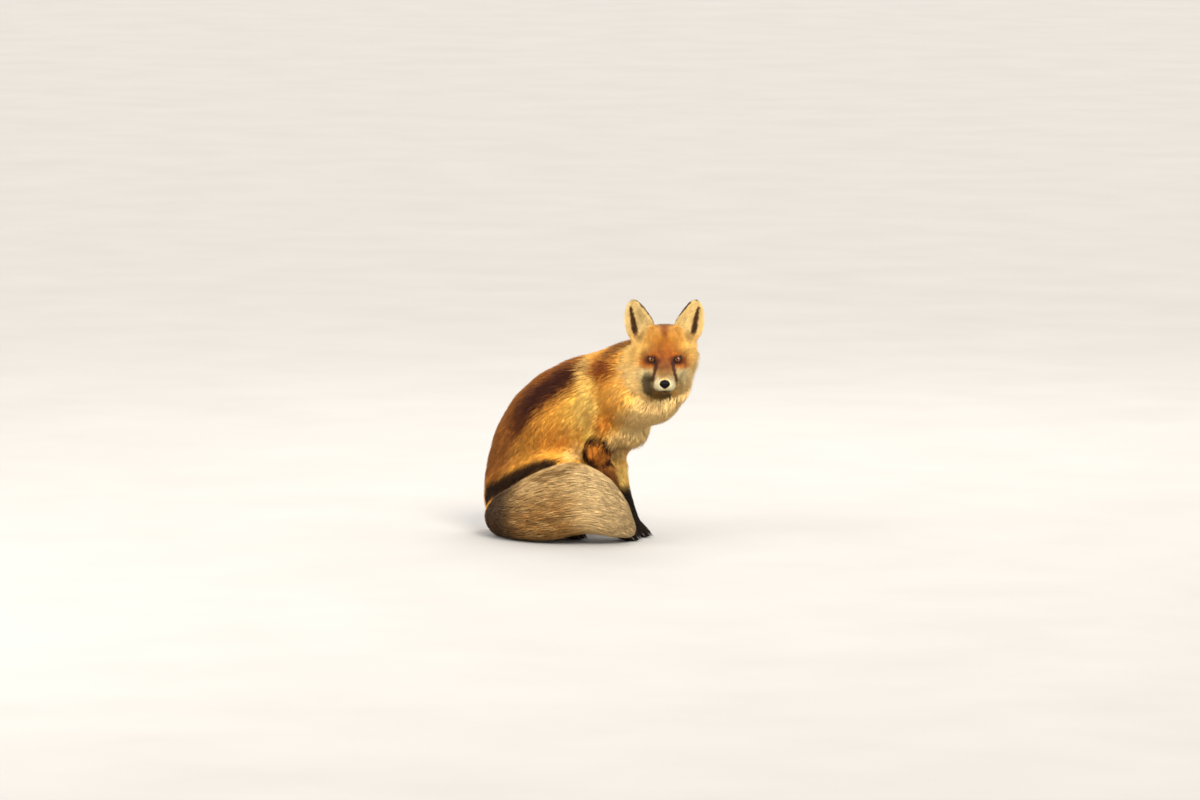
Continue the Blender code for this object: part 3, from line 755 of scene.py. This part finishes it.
class Hide:
    """The skin as arrays, with the lie, length and depth of the coat at each corner."""

    def __init__(self, obj, solids, outline):
        self.places, self.normals = corners(obj), corner_normals(obj)
        self.faces = corner_faces(obj)
        self.tree = BVHTree.FromPolygons(self.places.tolist(), self.faces.tolist())
        a, b, c = (self.places[self.faces[:, k]] for k in range(3))
        self.area = np.linalg.norm(np.cross(b - a, c - a), axis=1) / 2
        self.groups = solids.groups(self.places)
        run, length, depth = coat(self.places, self.normals, self.groups)
        gap = np.array([outline.find_nearest(p)[3] for p in self.places.tolist()])
        gap = np.where(self.groups == "ear", depth, np.clip(gap, 1.0 * MM, 34 * MM))
        fields = smoothed(obj, np.c_[run, length, gap, self.shut_in()], 12)
        self.run, self.length, self.depth = unit(fields[:, :3]), fields[:, 3], fields[:, 4]
        self.length = np.maximum(self.length, 1.5 * self.depth)
        self.shut = fields[:, 5]

    def shut_in(self):
        """1 where another part of the fox lies close over the skin, as under the brush."""
        starts = self.places + self.normals * 1.5 * MM
        hits = [self.tree.ray_cast(p, n, SHUT_IN_REACH)[0] is not None
                for p, n in zip(starts.tolist(), self.normals.tolist())]
        return np.array(hits, float)

    def sow(self, rng):
        """Roots spread evenly over the skin, closest where the hair is short."""
        close = 1e6 * np.interp(self.length / MM, (4, 8, 14, 30, 60), CLOSENESS)
        close *= 1 - .65 * self.shut * ~np.isin(self.groups, ("head", "ear"))
        for group, factor in CROWDING.items():
            close[self.groups == group] *= factor
        ruff = (self.groups == "head") & (self.length > 12 * MM)
        ruff |= (self.groups == "body") & (self.places[:, 0] > .02)
        close *= np.where(ruff, 1.30, 1)
        close[self.places[:, 2] < 2 * MM] *= .2
        total = np.cumsum(self.area * close[self.faces].mean(1))
        count = int(total[-1])
        picks = np.searchsorted(total, (np.arange(count) + rng.uniform(0, 1, count)) * total[-1] / count)
        picks = np.minimum(picks, len(self.faces) - 1)
        u, v = rng.uniform(0, 1, (2, count))
        flip = u + v > 1
        u[flip], v[flip] = 1 - u[flip], 1 - v[flip]
        return picks, np.array((1 - u - v, u, v)).T

    def at(self, values, picks, share):
        """A corner value taken to places inside triangles."""
        found = values[self.faces[picks]]
        return (found * share.reshape(share.shape + (1,) * (found.ndim - 2))).sum(1)

    def nearest(self, points):
        found = [self.tree.find_nearest(p)[:3] for p in points.tolist()]
        return [np.array(column) for column in zip(*found)]


def grow(hide, picks, share, rings, loose, under, rng):
    """Follows each tuft over the skin from its root. Returns its line, sides, ups and lengths.

    loose is how far the tufts wave; under marks the short, low ones of the undercoat.
    """
    roots, normals = hide.at(hide.places, picks, share), unit(hide.at(hide.normals, picks, share))
    run = unit(hide.at(hide.run, picks, share))
    length, depth = hide.at(hide.length, picks, share), hide.at(hide.depth, picks, share)
    count = len(roots)
    length = length * rng.uniform(.75, 1.25, count) * np.where(under, .75, 1)
    depth = depth * rng.uniform(.74, 1.08, count) * np.where(under, .5, 1)
    swing = (.20 + .2 * loose) * ripple(roots, 41, .018) + (.10 + .2 * loose) * ripple(roots, 42, .007)
    swing += rng.normal(0, .09 + .07 * loose, count)
    place, up = roots.copy(), normals.copy()
    line, ups, sides = [roots - normals * ROOT_SUNK], [normals], []
    for ring in range(1, rings + 1):
        way = unit(run - up * (run * up).sum(1, keepdims=True))
        side = np.cross(up, way)
        way = unit(way + side * swing[:, None])
        side = np.cross(up, way)
        sides.append(side)
        guess = place + way * (length / rings)[:, None]
        place, up, face = hide.nearest(guess)
        up = unit(up + ups[-1])
        t = ring / rings
        lift = depth * (1 - (1 - t) ** 1.7)
        line.append(.75 * place + .25 * guess + up * lift[:, None])
        ups.append(up)
        run = unit(.5 * run + .5 * hide.run[hide.faces[face, 0]])
        swing = swing * (1 - .9 * loose)
    sides.append(sides[-1])
    return np.array(line), np.array(ups), np.array(sides), length


def tuft_mesh(name, line, ups, sides, width, tone, bake):
    """Joins tufts into one mesh. Each is a closed three-sided spike; long ones start in a point."""
    rings, count = len(line) - 1, line.shape[1]
    first = 1 if rings > 1 else 0
    share = np.arange(first, rings) / rings
    half = width[None, :] * (.60 * (1 - share) ** .6 + .12 * share)[:, None]
    base = line[first:rings]
    spread, lift = sides[first:rings] * half[..., None], ups[first:rings] * half[..., None]
    body = np.stack((base - spread - .2 * lift, base + .34 * lift, base + spread - .2 * lift), axis=2)
    body = body.transpose(1, 0, 2, 3).reshape(count, -1, 3)
    places = np.concatenate((line[:first].transpose(1, 0, 2), body, line[-1][:, None, :]), axis=1)
    size = places.shape[1]
    faces = []
    for ring in range(len(share) - 1):
        for k in range(3):
            a, b = first + ring * 3 + k, first + ring * 3 + (k + 1) % 3
            faces += [(a, b, b + 3), (a, b + 3, a + 3)]
    for k in range(3):
        a, b = size - 4 + k, size - 4 + (k + 1) % 3
        faces.append((a, b, size - 1))
        if first:
            faces.append((1 + (k + 1) % 3, 1 + k, 0))
    if not first:
        faces.append((2, 1, 0))
    faces = np.array(faces)
    faces = (faces[None] + (np.arange(count) * size)[:, None, None]).reshape(-1, 3)
    mesh = bpy.data.meshes.new(name)
    mesh.vertices.add(count * size)
    mesh.vertices.foreach_set("co", places.astype(np.float32).ravel())
    mesh.loops.add(faces.size)
    mesh.loops.foreach_set("vertex_index", faces.astype(np.int32).ravel())
    mesh.polygons.add(len(faces))
    mesh.polygons.foreach_set("loop_start", np.arange(0, faces.size, 3, dtype=np.int32))
    mesh.update(calc_edges=True)
    mesh.shade_smooth()
    t = np.concatenate(([0] * first, np.repeat(share, 3), [1.0]))
    across = np.concatenate(([.5] * first, np.tile((0, .5, 1), len(share)), [.5]))
    tint = np.ones((count, size, 4), np.float32)
    tint[:, :, :3] = tone[:, None] * (.80 + .26 * t ** .8)[None, :, None]
    layer = mesh.color_attributes.new("Coat", "FLOAT_COLOR", "POINT")
    layer.data.foreach_set("color", tint.ravel())
    offset = np.random.default_rng(5).uniform(0, 40, count)
    strand = np.stack((across[None] + offset[:, None], np.tile(t, (count, 1))), axis=2)
    sunk = np.where((np.arange(size) == 1) & (first == 0), -.15, 0)
    patch = np.stack((across - .5, t - .5 + sunk), axis=1) * BAKE_PATCH
    baked = bake[:, None, :] + patch[None]
    for title, values in (("Strand", strand), ("OFBake", baked)):
        chart = mesh.uv_layers.new(name=title)
        chart.data.foreach_set("uv", values.reshape(-1, 2)[faces.ravel()].astype(np.float32).ravel())
    return in_scene(name, mesh)


def unwrapped(hide, picks, share):
    """Each root's place on a flat pattern of the skin under it."""
    used, back = np.unique(picks, return_inverse=True)
    mesh = bpy.data.meshes.new("pattern")
    numbers, inner = np.unique(hide.faces[used], return_inverse=True)
    mesh.from_pydata(hide.places[numbers].tolist(), [], inner.reshape(-1, 3).tolist())
    pattern = in_scene("pattern", mesh)
    only(pattern)
    bpy.ops.object.mode_set(mode="EDIT")
    bpy.ops.mesh.select_all(action="SELECT")
    bpy.ops.uv.smart_project(angle_limit=math.radians(66), island_margin=.004)
    bpy.ops.object.mode_set(mode="OBJECT")
    flat = np.zeros(len(mesh.loops) * 2)
    mesh.uv_layers.active.data.foreach_get("uv", flat)
    flat = flat.reshape(-1, 3, 2)[back.ravel()]
    bpy.data.objects.remove(pattern)
    bpy.data.meshes.remove(mesh)
    return BAKE_PATCH + (1 - 2 * BAKE_PATCH) * (flat * share[:, :, None]).sum(1)


# ---------------------------------------------------------------- materials

def blank(name):
    paint = bpy.data.materials.new(name)
    paint.use_nodes = True
    return paint, paint.node_tree, paint.node_tree.nodes["Principled BSDF"]


def dial(made, **settings):
    """Sets a shader node's sockets, or its own properties where the name is in small letters."""
    for name, value in settings.items():
        socket = made.inputs.get(name.replace("_", " "))
        if socket is None:
            setattr(made, name, value)
        else:
            socket.default_value = value
    return made


def node(tree, kind, **settings):
    return dial(tree.nodes.new("ShaderNode" + kind), **settings)


def wire(giver, way_out, taker, way_in):
    giver.id_data.links.new(giver.outputs[way_out], taker.inputs[way_in])


def two_tones(tree, dark, light):
    """A ramp from one colour to another."""
    ramp = node(tree, "ValToRGB")
    for stop, tone in zip(ramp.color_ramp.elements, (dark, light)):
        stop.color = (*tone, 1)
    return ramp


def rough_up(shader, giver, way_out, strength, height):
    """Fine relief on a surface, from a texture."""
    relief = node(shader.id_data, "Bump", Strength=strength, Distance=height)
    wire(giver, way_out, relief, "Height")
    wire(relief, "Normal", shader, "Normal")


def fur(name, roughness, sheen, strand_depth):
    """Hair in the coat's own colour, with fine strands drawn along each tuft."""
    paint, tree, shader = blank(name)
    tone = node(tree, "VertexColor", layer_name="Coat")
    chart = node(tree, "UVMap", uv_map="Strand")
    stretch = node(tree, "Mapping", Scale=(5, .7, 1))
    strands = node(tree, "TexNoise", Scale=1.0, Detail=4, Roughness=.7)
    wire(chart, "UV", stretch, "Vector")
    wire(stretch, "Vector", strands, "Vector")
    place = node(tree, "TexCoord")
    cloud = node(tree, "TexNoise", Scale=160, Detail=3)
    wire(place, "Object", cloud, "Vector")
    level = node(tree, "MapRange", From_Min=.3, From_Max=.7,
                 To_Min=1 - strand_depth, To_Max=1 + strand_depth)
    drift = node(tree, "MapRange", From_Min=.3, From_Max=.7, To_Min=.90, To_Max=1.10)
    both = node(tree, "Math", operation="MULTIPLY")
    wire(strands, "Fac", level, "Value")
    wire(cloud, "Fac", drift, "Value")
    wire(level, "Result", both, 0)
    wire(drift, "Result", both, 1)
    dyed = node(tree, "VectorMath", operation="SCALE")
    wire(tone, "Color", dyed, 0)
    wire(both, "Value", dyed, "Scale")
    wire(dyed, "Vector", shader, "Base Color")
    rough_up(shader, strands, "Fac", .35, .0004)
    dial(shader, Roughness=roughness, Specular_IOR_Level=.09, Sheen_Weight=sheen, Sheen_Roughness=.45)
    return paint


def bare_skin():
    """Short down over the skin, in the coat's colours."""
    paint, tree, shader = blank("downy_skin")
    tone = node(tree, "VertexColor", layer_name="Coat")
    place = node(tree, "TexCoord")
    down = node(tree, "TexNoise", Scale=900, Detail=4)
    level = node(tree, "MapRange", From_Min=.3, From_Max=.7, To_Min=.82, To_Max=1.08)
    dyed = node(tree, "VectorMath", operation="SCALE")
    wire(place, "Object", down, "Vector")
    wire(down, "Fac", level, "Value")
    wire(tone, "Color", dyed, 0)
    wire(level, "Result", dyed, "Scale")
    wire(dyed, "Vector", shader, "Base Color")
    rough_up(shader, down, "Fac", .5, .0005)
    dial(shader, Roughness=.8, Specular_IOR_Level=.2)
    return paint


def dye(obj, tint):
    layer = obj.data.color_attributes.new("Coat", "FLOAT_COLOR", "POINT")
    layer.data.foreach_set("color", np.c_[tint, np.ones(len(tint))].astype(np.float32).ravel())


def finish_piece(piece, paint, slot, *nodes):
    piece.data.materials.clear()
    piece.data.materials.append(paint)
    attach(piece, "root")
    if nodes:
        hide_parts(*nodes)


# ---------------------------------------------------------------- eyes, nose, whiskers and claws

def new_piece(name, places, faces):
    mesh = bpy.data.meshes.new(name)
    mesh.from_pydata([tuple(p) for p in places], [], [tuple(f) for f in faces])
    mesh.update()
    return in_scene(name, mesh)


def make_eyes():
    """Two glossy balls with a low dome over the iris, both looking the way the face is turned."""
    gaze = HEAD_TURN @ Vector((math.cos(FACE_TILT), 0, math.sin(FACE_TILT)))
    across = HEAD_TURN @ Vector((0, 1, 0))
    upright = gaze.cross(across)
    balls = []
    for centre in EYES.values():
        bpy.ops.mesh.primitive_uv_sphere_add(segments=56, ring_count=40, radius=EYE_RADIUS)
        ball = bpy.context.object
        turned = Matrix((across, upright, gaze)).transposed().to_4x4()
        chart = ball.data.uv_layers.new(name="EyeFace")
        for loop in ball.data.loops:
            co = ball.data.vertices[loop.vertex_index].co / EYE_RADIUS
            chart.data[loop.index].uv = (co.x, co.y)
        where = corners(ball)
        dome = step(.72, .95, where[:, 2] / EYE_RADIUS)
        move_corners(ball, where + np.array((0, 0, .5 * MM)) * dome[:, None])
        ball.data.transform(Matrix.Translation(centre) @ turned)
        balls.append(ball)
    eyes = join(balls, "eyes")
    eyes.data.shade_smooth()
    return eyes


def eye_glass():
    """Dark amber iris with an upright pupil, under a clear wet surface."""
    paint, tree, shader = blank("amber_eye")
    chart = node(tree, "UVMap", uv_map="EyeFace")
    reach = node(tree, "VectorMath", operation="LENGTH")
    ring = node(tree, "ValToRGB")
    wire(chart, "UV", reach, 0)
    wire(reach, "Value", ring, "Fac")
    stops = [(0, (.13, .040, .010)), (.40, (.17, .055, .012)), (.62, (.085, .026, .007)),
             (.72, (.016, .007, .004)), (.80, (.012, .007, .005))]
    ramp = ring.color_ramp
    for k, (place, tone) in enumerate(stops):
        stop = ramp.elements[k] if k < 2 else ramp.elements.new(place)
        stop.position, stop.color = place, (*tone, 1)
    spoke = node(tree, "VectorMath", operation="NORMALIZE")
    fibres = node(tree, "TexNoise", Scale=9, Detail=5, Roughness=.7)
    level = node(tree, "MapRange", From_Min=.3, From_Max=.7, To_Min=.65, To_Max=1.3)
    dyed = node(tree, "VectorMath", operation="SCALE")
    wire(chart, "UV", spoke, 0)
    wire(spoke, "Vector", fibres, "Vector")
    wire(fibres, "Fac", level, "Value")
    wire(ring, "Color", dyed, 0)
    wire(level, "Result", dyed, "Scale")
    slit = node(tree, "Mapping", Scale=(1 / .20, 1 / .44, 0))
    far = node(tree, "VectorMath", operation="LENGTH")
    pupil = node(tree, "MapRange", From_Min=.85, From_Max=1.1, To_Min=.03, To_Max=1)
    whole = node(tree, "VectorMath", operation="SCALE")
    wire(chart, "UV", slit, "Vector")
    wire(slit, "Vector", far, 0)
    wire(far, "Value", pupil, "Value")
    wire(dyed, "Vector", whole, 0)
    wire(pupil, "Result", whole, "Scale")
    wire(whole, "Vector", shader, "Base Color")
    dial(shader, Roughness=.12, IOR=1.38, Specular_IOR_Level=.3, Coat_Weight=.2, Coat_Roughness=.03)
    return paint


NOSE_MIDDLE, NOSE_RADII = (.0762, 0, -.0335), (.0086, .0112, .0096)


def make_nose():
    """The leathery pad: nostrils curling out to the sides and a cleft below."""
    bpy.ops.mesh.primitive_uv_sphere_add(segments=96, ring_count=64, radius=1)
    pad = bpy.context.object
    ball = corners(pad)
    x, y, z = ball.T
    narrow = 1 - .34 * step(-.05, -.95, z) + .04 * step(.2, .8, z)
    shape = np.array((x * (1 - .12 * step(.3, 1, z)), y * narrow, z)).T * NOSE_RADII
    side = np.abs(shape[:, 1])
    open_line = [(.0030, -.0002), (.0052, .0012), (.0076, .0002), (.0092, -.0016)]
    hole = line_gap(np.array((side, shape[:, 2])).T, open_line)
    round_hole = np.hypot(side - .0044, (shape[:, 2] - .0002) * 1.15)
    front = step(.0, .3, x)
    shape[:, 0] -= front * (2.6 * MM * (1 - step(.0007, .0023, round_hole))
                            + 1.5 * MM * (1 - step(.0004, .0013, hole)) * step(.0095, .0060, side))
    shape[:, 0] -= front * .9 * MM * np.exp(-(side / (.45 * MM)) ** 2) * step(.0030, -.0010, shape[:, 2])
    flare = bulge(np.array((side, shape[:, 2])).T, (.0048, .0040), (.0036, .0020), .7)
    shape[:, 0] += front * .5 * MM * flare
    move_corners(pad, from_head(shape + np.array(NOSE_MIDDLE)))
    pad.name = pad.data.name = "nose"
    pad.data.shade_smooth()
    return pad


def nose_leather():
    paint, tree, shader = blank("nose_leather")
    place = node(tree, "TexCoord")
    cells = node(tree, "TexVoronoi", Scale=1400)
    grain = node(tree, "TexNoise", Scale=700, Detail=3)
    tones = two_tones(tree, (.002, .0014, .0012), (.006, .004, .0035))
    wire(place, "Object", cells, "Vector")
    wire(place, "Object", grain, "Vector")
    wire(grain, "Fac", tones, "Fac")
    wire(tones, "Color", shader, "Base Color")
    rough_up(shader, cells, "Distance", .45, .0003)
    dial(shader, Roughness=.40, Specular_IOR_Level=.07)
    return paint


def rods(name, lines, widths, facets):
    """Tapering closed rods through (count, stations, 3) places, joined into one mesh."""
    places, faces = [], []
    for line, half in zip(lines, widths):
        line = np.array(line)
        start = len(places)
        for k in range(len(line)):
            ahead = unit((line[min(k + 1, len(line) - 1)] - line[max(k - 1, 0)])[None])[0]
            side = unit(np.cross(ahead, (.13, .21, .97))[None])[0]
            lift = np.cross(side, ahead)
            for a in range(facets):
                turn = math.tau * a / facets
                places.append(line[k] + half[k] * (math.cos(turn) * side + math.sin(turn) * lift))
        for k in range(len(line) - 1):
            for a in range(facets):
                b = (a + 1) % facets
                low, high = start + k * facets, start + (k + 1) * facets
                faces.append((low + a, low + b, high + b, high + a))
        last = start + (len(line) - 1) * facets
        faces.append(tuple(start + a for a in reversed(range(facets))))
        faces.append(tuple(last + a for a in range(facets)))
    obj = new_piece(name, places, faces)
    only(obj)
    bpy.ops.object.mode_set(mode="EDIT")
    bpy.ops.mesh.select_all(action="SELECT")
    bpy.ops.mesh.normals_make_consistent(inside=False)
    bpy.ops.object.mode_set(mode="OBJECT")
    obj.data.shade_smooth()
    return obj


def make_whiskers():
    """Three rows of whiskers on each pad and two over each eye."""
    rng = np.random.default_rng(17)
    lines, widths = [], []
    t = np.linspace(0, 1, 8)[:, None]
    for out in (-1, 1):
        for row in range(3):
            for k in range(3):
                root = np.array((.068 - .006 * k - .002 * row, out * (.0125 + .0012 * k),
                                 -.0375 - .0042 * row))
                way = np.array((-.42 - .10 * k, out, .10 - .16 * row)) + rng.normal(0, .05, 3)
                droop = np.array((-.25, 0, -.32))
                long = (.030 + .006 * k) * rng.uniform(.9, 1.1)
                lines.append(from_head(root + long * (way * t + .5 * droop * t * t)))
                widths.append(np.interp(t[:, 0], (0, 1), (.20 * MM, .05 * MM)))
        for k in range(2):
            root = np.array((.010, out * (.020 + .006 * k), .0135))
            way = np.array((.55, out * (.25 + .2 * k), .9))
            lines.append(from_head(root + .018 * (way * t + np.array((-.2, 0, -.25)) * t * t)))
            widths.append(np.interp(t[:, 0], (0, 1), (.14 * MM, .04 * MM)))
    return rods("whiskers", lines, widths, 4)


def make_claws():
    """One curved claw on each toe."""
    lines, widths = [], []
    t = np.linspace(0, 1, 6)
    for x, y in toe_places():
        reach = np.array([(x + .0075 + .0105 * a, y, .0098 - .0018 * a - .0062 * a * a) for a in t])
        lines.append(reach)
        widths.append(np.interp(t, (0, .5, 1), (1.9 * MM, 1.4 * MM, .25 * MM)))
    return rods("claws", lines, widths, 8)


def horn(name, dark, light, roughness):
    """Horn or whisker: streaked a little along its length."""
    paint, tree, shader = blank(name)
    place = node(tree, "TexCoord")
    grain = node(tree, "TexNoise", Scale=600, Detail=3)
    tones = two_tones(tree, dark, light)
    wire(place, "Object", grain, "Vector")
    wire(grain, "Fac", tones, "Fac")
    wire(tones, "Color", shader, "Base Color")
    rough_up(shader, grain, "Fac", .3, .0002)
    dial(shader, Roughness=roughness)
    return paint


# ---------------------------------------------------------------- coat

def coat_regions(points, groups):
    """Name of the coat piece that each root belongs to."""
    local = in_head(points)
    side = np.where(points[:, 1] < MID_Y, "right", "left").astype(object)
    names = "coat_flank_" + side
    body = groups == "body"
    names[body & (back_height(points) - points[:, 2] < .045)] = "coat_back"
    names[body & (points[:, 0] > .02)] = "coat_neck"
    front = points[:, 0] - np.interp(points[:, 2], (.14, .19, .24, .31), (-.03, .02, .082, .126))
    names[body & (front > .02)] = "coat_breast"
    names[groups == "haunch"] = ("coat_haunch_" + side)[groups == "haunch"]
    names[groups == "foreleg"] = "coat_forelegs"
    names[groups == "hindfoot"] = "coat_hind_feet"
    brush = groups == "brush"
    names[brush] = "coat_brush_tip"
    names[brush & (points[:, 0] < .030)] = "coat_brush_middle"
    names[brush & (points[:, 0] < -.095)] = "coat_brush_root"
    head = groups == "head"
    names[head] = np.where(local[head, 1] < 0, "coat_cheek_right", "coat_cheek_left")
    face = (local[:, 0] > -.030) & (np.abs(local[:, 1]) < .048) & (local[:, 2] > -.085)
    names[head & face] = "coat_face"
    names[groups == "ear"] = "coat_ears"
    return names


SKIN_DARKNESS = .85             # the skin between the tufts lies in their shade
SLOTS = {"coat_breast": "pale_coat", "coat_brush_tip": "tail_coat", "coat_brush_middle": "tail_coat",
         "coat_brush_root": "tail_coat", "coat_forelegs": "stocking", "coat_hind_feet": "stocking"}


def shade(groups, length):
    """Short hair shades itself less than long hair does, so it's dyed darker."""
    plain = np.interp(length / MM, (6, 20), (.82, 1))
    return np.where(groups == "brush", .74, np.where(groups == "foreleg", .88, plain))


def make_coat(hide):
    rng = np.random.default_rng(7)
    picks, share = hide.sow(rng)
    roots = hide.at(hide.places, picks, share)
    keep = (slit_reach(roots) > LID_MARGIN) & (roots[:, 2] > 1.0 * MM)
    picks, share, roots = picks[keep], share[keep], roots[keep]
    groups = hide.groups[hide.faces[picks, 0]]
    names = coat_regions(roots, groups)
    paints = {"coat": fur("fox_coat", .66, .02, .18),
              "pale_coat": fur("pale_coat", .68, .04, .14),
              "tail_coat": fur("brush_coat", .68, .04, .26),
              "stocking": fur("stocking_coat", .55, .02, .22)}
    for name in sorted(set(names)):
        inside = np.flatnonzero(names == name)
        rings = 3 if name.startswith(LONG_HAIR) else 1 if name.startswith(SHORT_HAIR) else 2
        per_tuft = 6 * (rings - 1) or 4
        inside = rng.permutation(inside)[:MOST_FACES // per_tuft]
        loose = .8 if "brush" in name else 0
        under = rng.uniform(size=len(inside)) < UNDERCOAT
        line, ups, sides, length = grow(hide, picks[inside], share[inside], rings, loose, under, rng)
        line[..., 2] = np.maximum(line[..., 2], .4 * MM)
        width = np.interp(length, (.004, .010, .030, .060), (.58 * MM, .85 * MM, 1.15 * MM, 1.6 * MM))
        width *= rng.uniform(.7, 1.25, len(inside)) * np.where(under, 2.4, 1.1)
        on_head = np.isin(groups[inside], ("head", "ear"))
        spread = np.where(on_head, .7 * MM, np.interp(roots[inside][:, 2], (.20, .28), (2 * MM, 6.5 * MM)))
        stray = spread[:, None] * rng.normal(size=(len(inside), 3))
        seen = .4 * line[-2] + .6 * line[-1]
        tone = markings(seen + stray, ups[-1], groups[inside])
        streak = .10 * ripple(roots[inside], 51, .006) + rng.normal(0, .08, len(inside))
        tone = tone * ((1 + streak) * shade(groups[inside], length))[:, None].clip(.45, 1.35)
        bake = unwrapped(hide, picks[inside], share[inside])
        piece = tuft_mesh(name, line, ups, sides, width, tone, bake)
        slot = SLOTS.get(name, "coat")
        finish_piece(piece, paints[slot], slot)


# ---------------------------------------------------------------- stage, lights and camera

CAMERA_TURN, CAMERA_RISE = math.radians(30), math.radians(6)
CAMERA_GAP = 18.0
VIEW_WIDTH = 2.58              # metres across the whole picture at the fox
SENSOR = 36.0
AIM = Vector((-.0145, .0933, .2897))
LIT_HEIGHT = .22               # the lights point at the fox at this height
FLOOR_SIZE, FLOOR_DROP = 120, .0005


def away(turn, rise):
    """Unit vector from the fox towards a place at that azimuth and elevation."""
    return Vector((math.sin(turn) * math.cos(rise), -math.cos(turn) * math.cos(rise), math.sin(rise)))


def look(obj, place, target):
    obj.location = place
    obj.rotation_mode = "QUATERNION"
    obj.rotation_quaternion = (target - place).to_track_quat("-Z", "Y")


def make_camera():
    bpy.ops.object.camera_add()
    camera = bpy.context.object
    camera.name = "camera"
    camera.data.sensor_width = SENSOR
    camera.data.lens = SENSOR * CAMERA_GAP / VIEW_WIDTH
    camera.data.clip_end = 200
    look(camera, AIM + away(CAMERA_TURN, CAMERA_RISE) * CAMERA_GAP, AIM)
    bpy.context.scene.camera = camera


def make_light(name, turn, rise, gap, size, watts, tint):
    bpy.ops.object.light_add(type="AREA")
    light = bpy.context.object
    light.name = name
    light.data.shape = "DISK"
    light.data.size = size
    light.data.energy = watts
    light.data.color = tint
    target = Vector((0, 0, LIT_HEIGHT))
    look(light, target + away(math.radians(turn), math.radians(rise)) * gap, target)


def make_sun(name, turn, rise, spread, strength, tint):
    bpy.ops.object.light_add(type="SUN")
    light = bpy.context.object
    light.name = name
    light.data.angle = math.radians(spread)
    light.data.energy = strength
    light.data.color = tint
    look(light, away(math.radians(turn), math.radians(rise)), Vector((0, 0, 0)))


def make_stage():
    bpy.ops.mesh.primitive_plane_add(size=FLOOR_SIZE, location=(0, 0, -FLOOR_DROP))
    floor = bpy.context.object
    floor.name = "floor"
    paint, tree, shader = blank("pale_floor")
    dial(shader, Roughness=.9)
    place = node(tree, "TexCoord")
    mottle = node(tree, "TexNoise", Scale=3)
    tones = two_tones(tree, (.28, .27, .26), (.32, .31, .30))
    wire(place, "Object", mottle, "Vector")
    wire(mottle, "Fac", tones, "Fac")
    wire(tones, "Color", shader, "Base Color")
    floor.data.materials.append(paint)
    world = bpy.data.worlds.new("studio")
    world.use_nodes = True
    dial(world.node_tree.nodes["Background"], Color=(1, .985, .96, 1), Strength=1.6)
    bpy.context.scene.world = world
    bpy.context.scene.view_settings.view_transform = "Standard"


make_camera()
make_stage()
make_sun("key", 52, 35, 24, 4.9, (1, .93, .82))
make_light("fill", -30, 30, 4.0, 3.0, 105, (1, .97, .93))
make_light("rim", 190, 50, 3.5, 2.0, 60, (1, .97, .92))

solids = Solids()
skin, outline = make_skin(solids)
hide = Hide(skin, solids, outline)
skin_tone = markings(hide.places, hide.normals, hide.groups)
dye(skin, skin_tone * (SKIN_DARKNESS * shade(hide.groups, hide.length))[:, None])
finish_piece(skin, bare_skin(), "coat", *FLESH)
make_coat(hide)
finish_piece(make_eyes(), eye_glass(), "eye", "eye_left", "eye_right")
finish_piece(make_nose(), nose_leather(), "nose_skin", "nose_pad")
finish_piece(make_whiskers(), horn("whisker", (.015, .012, .010), (.05, .04, .03), .4), "stocking")
finish_piece(make_claws(), horn("claw_horn", (.012, .010, .009), (.045, .035, .028), .35), "nose_skin")
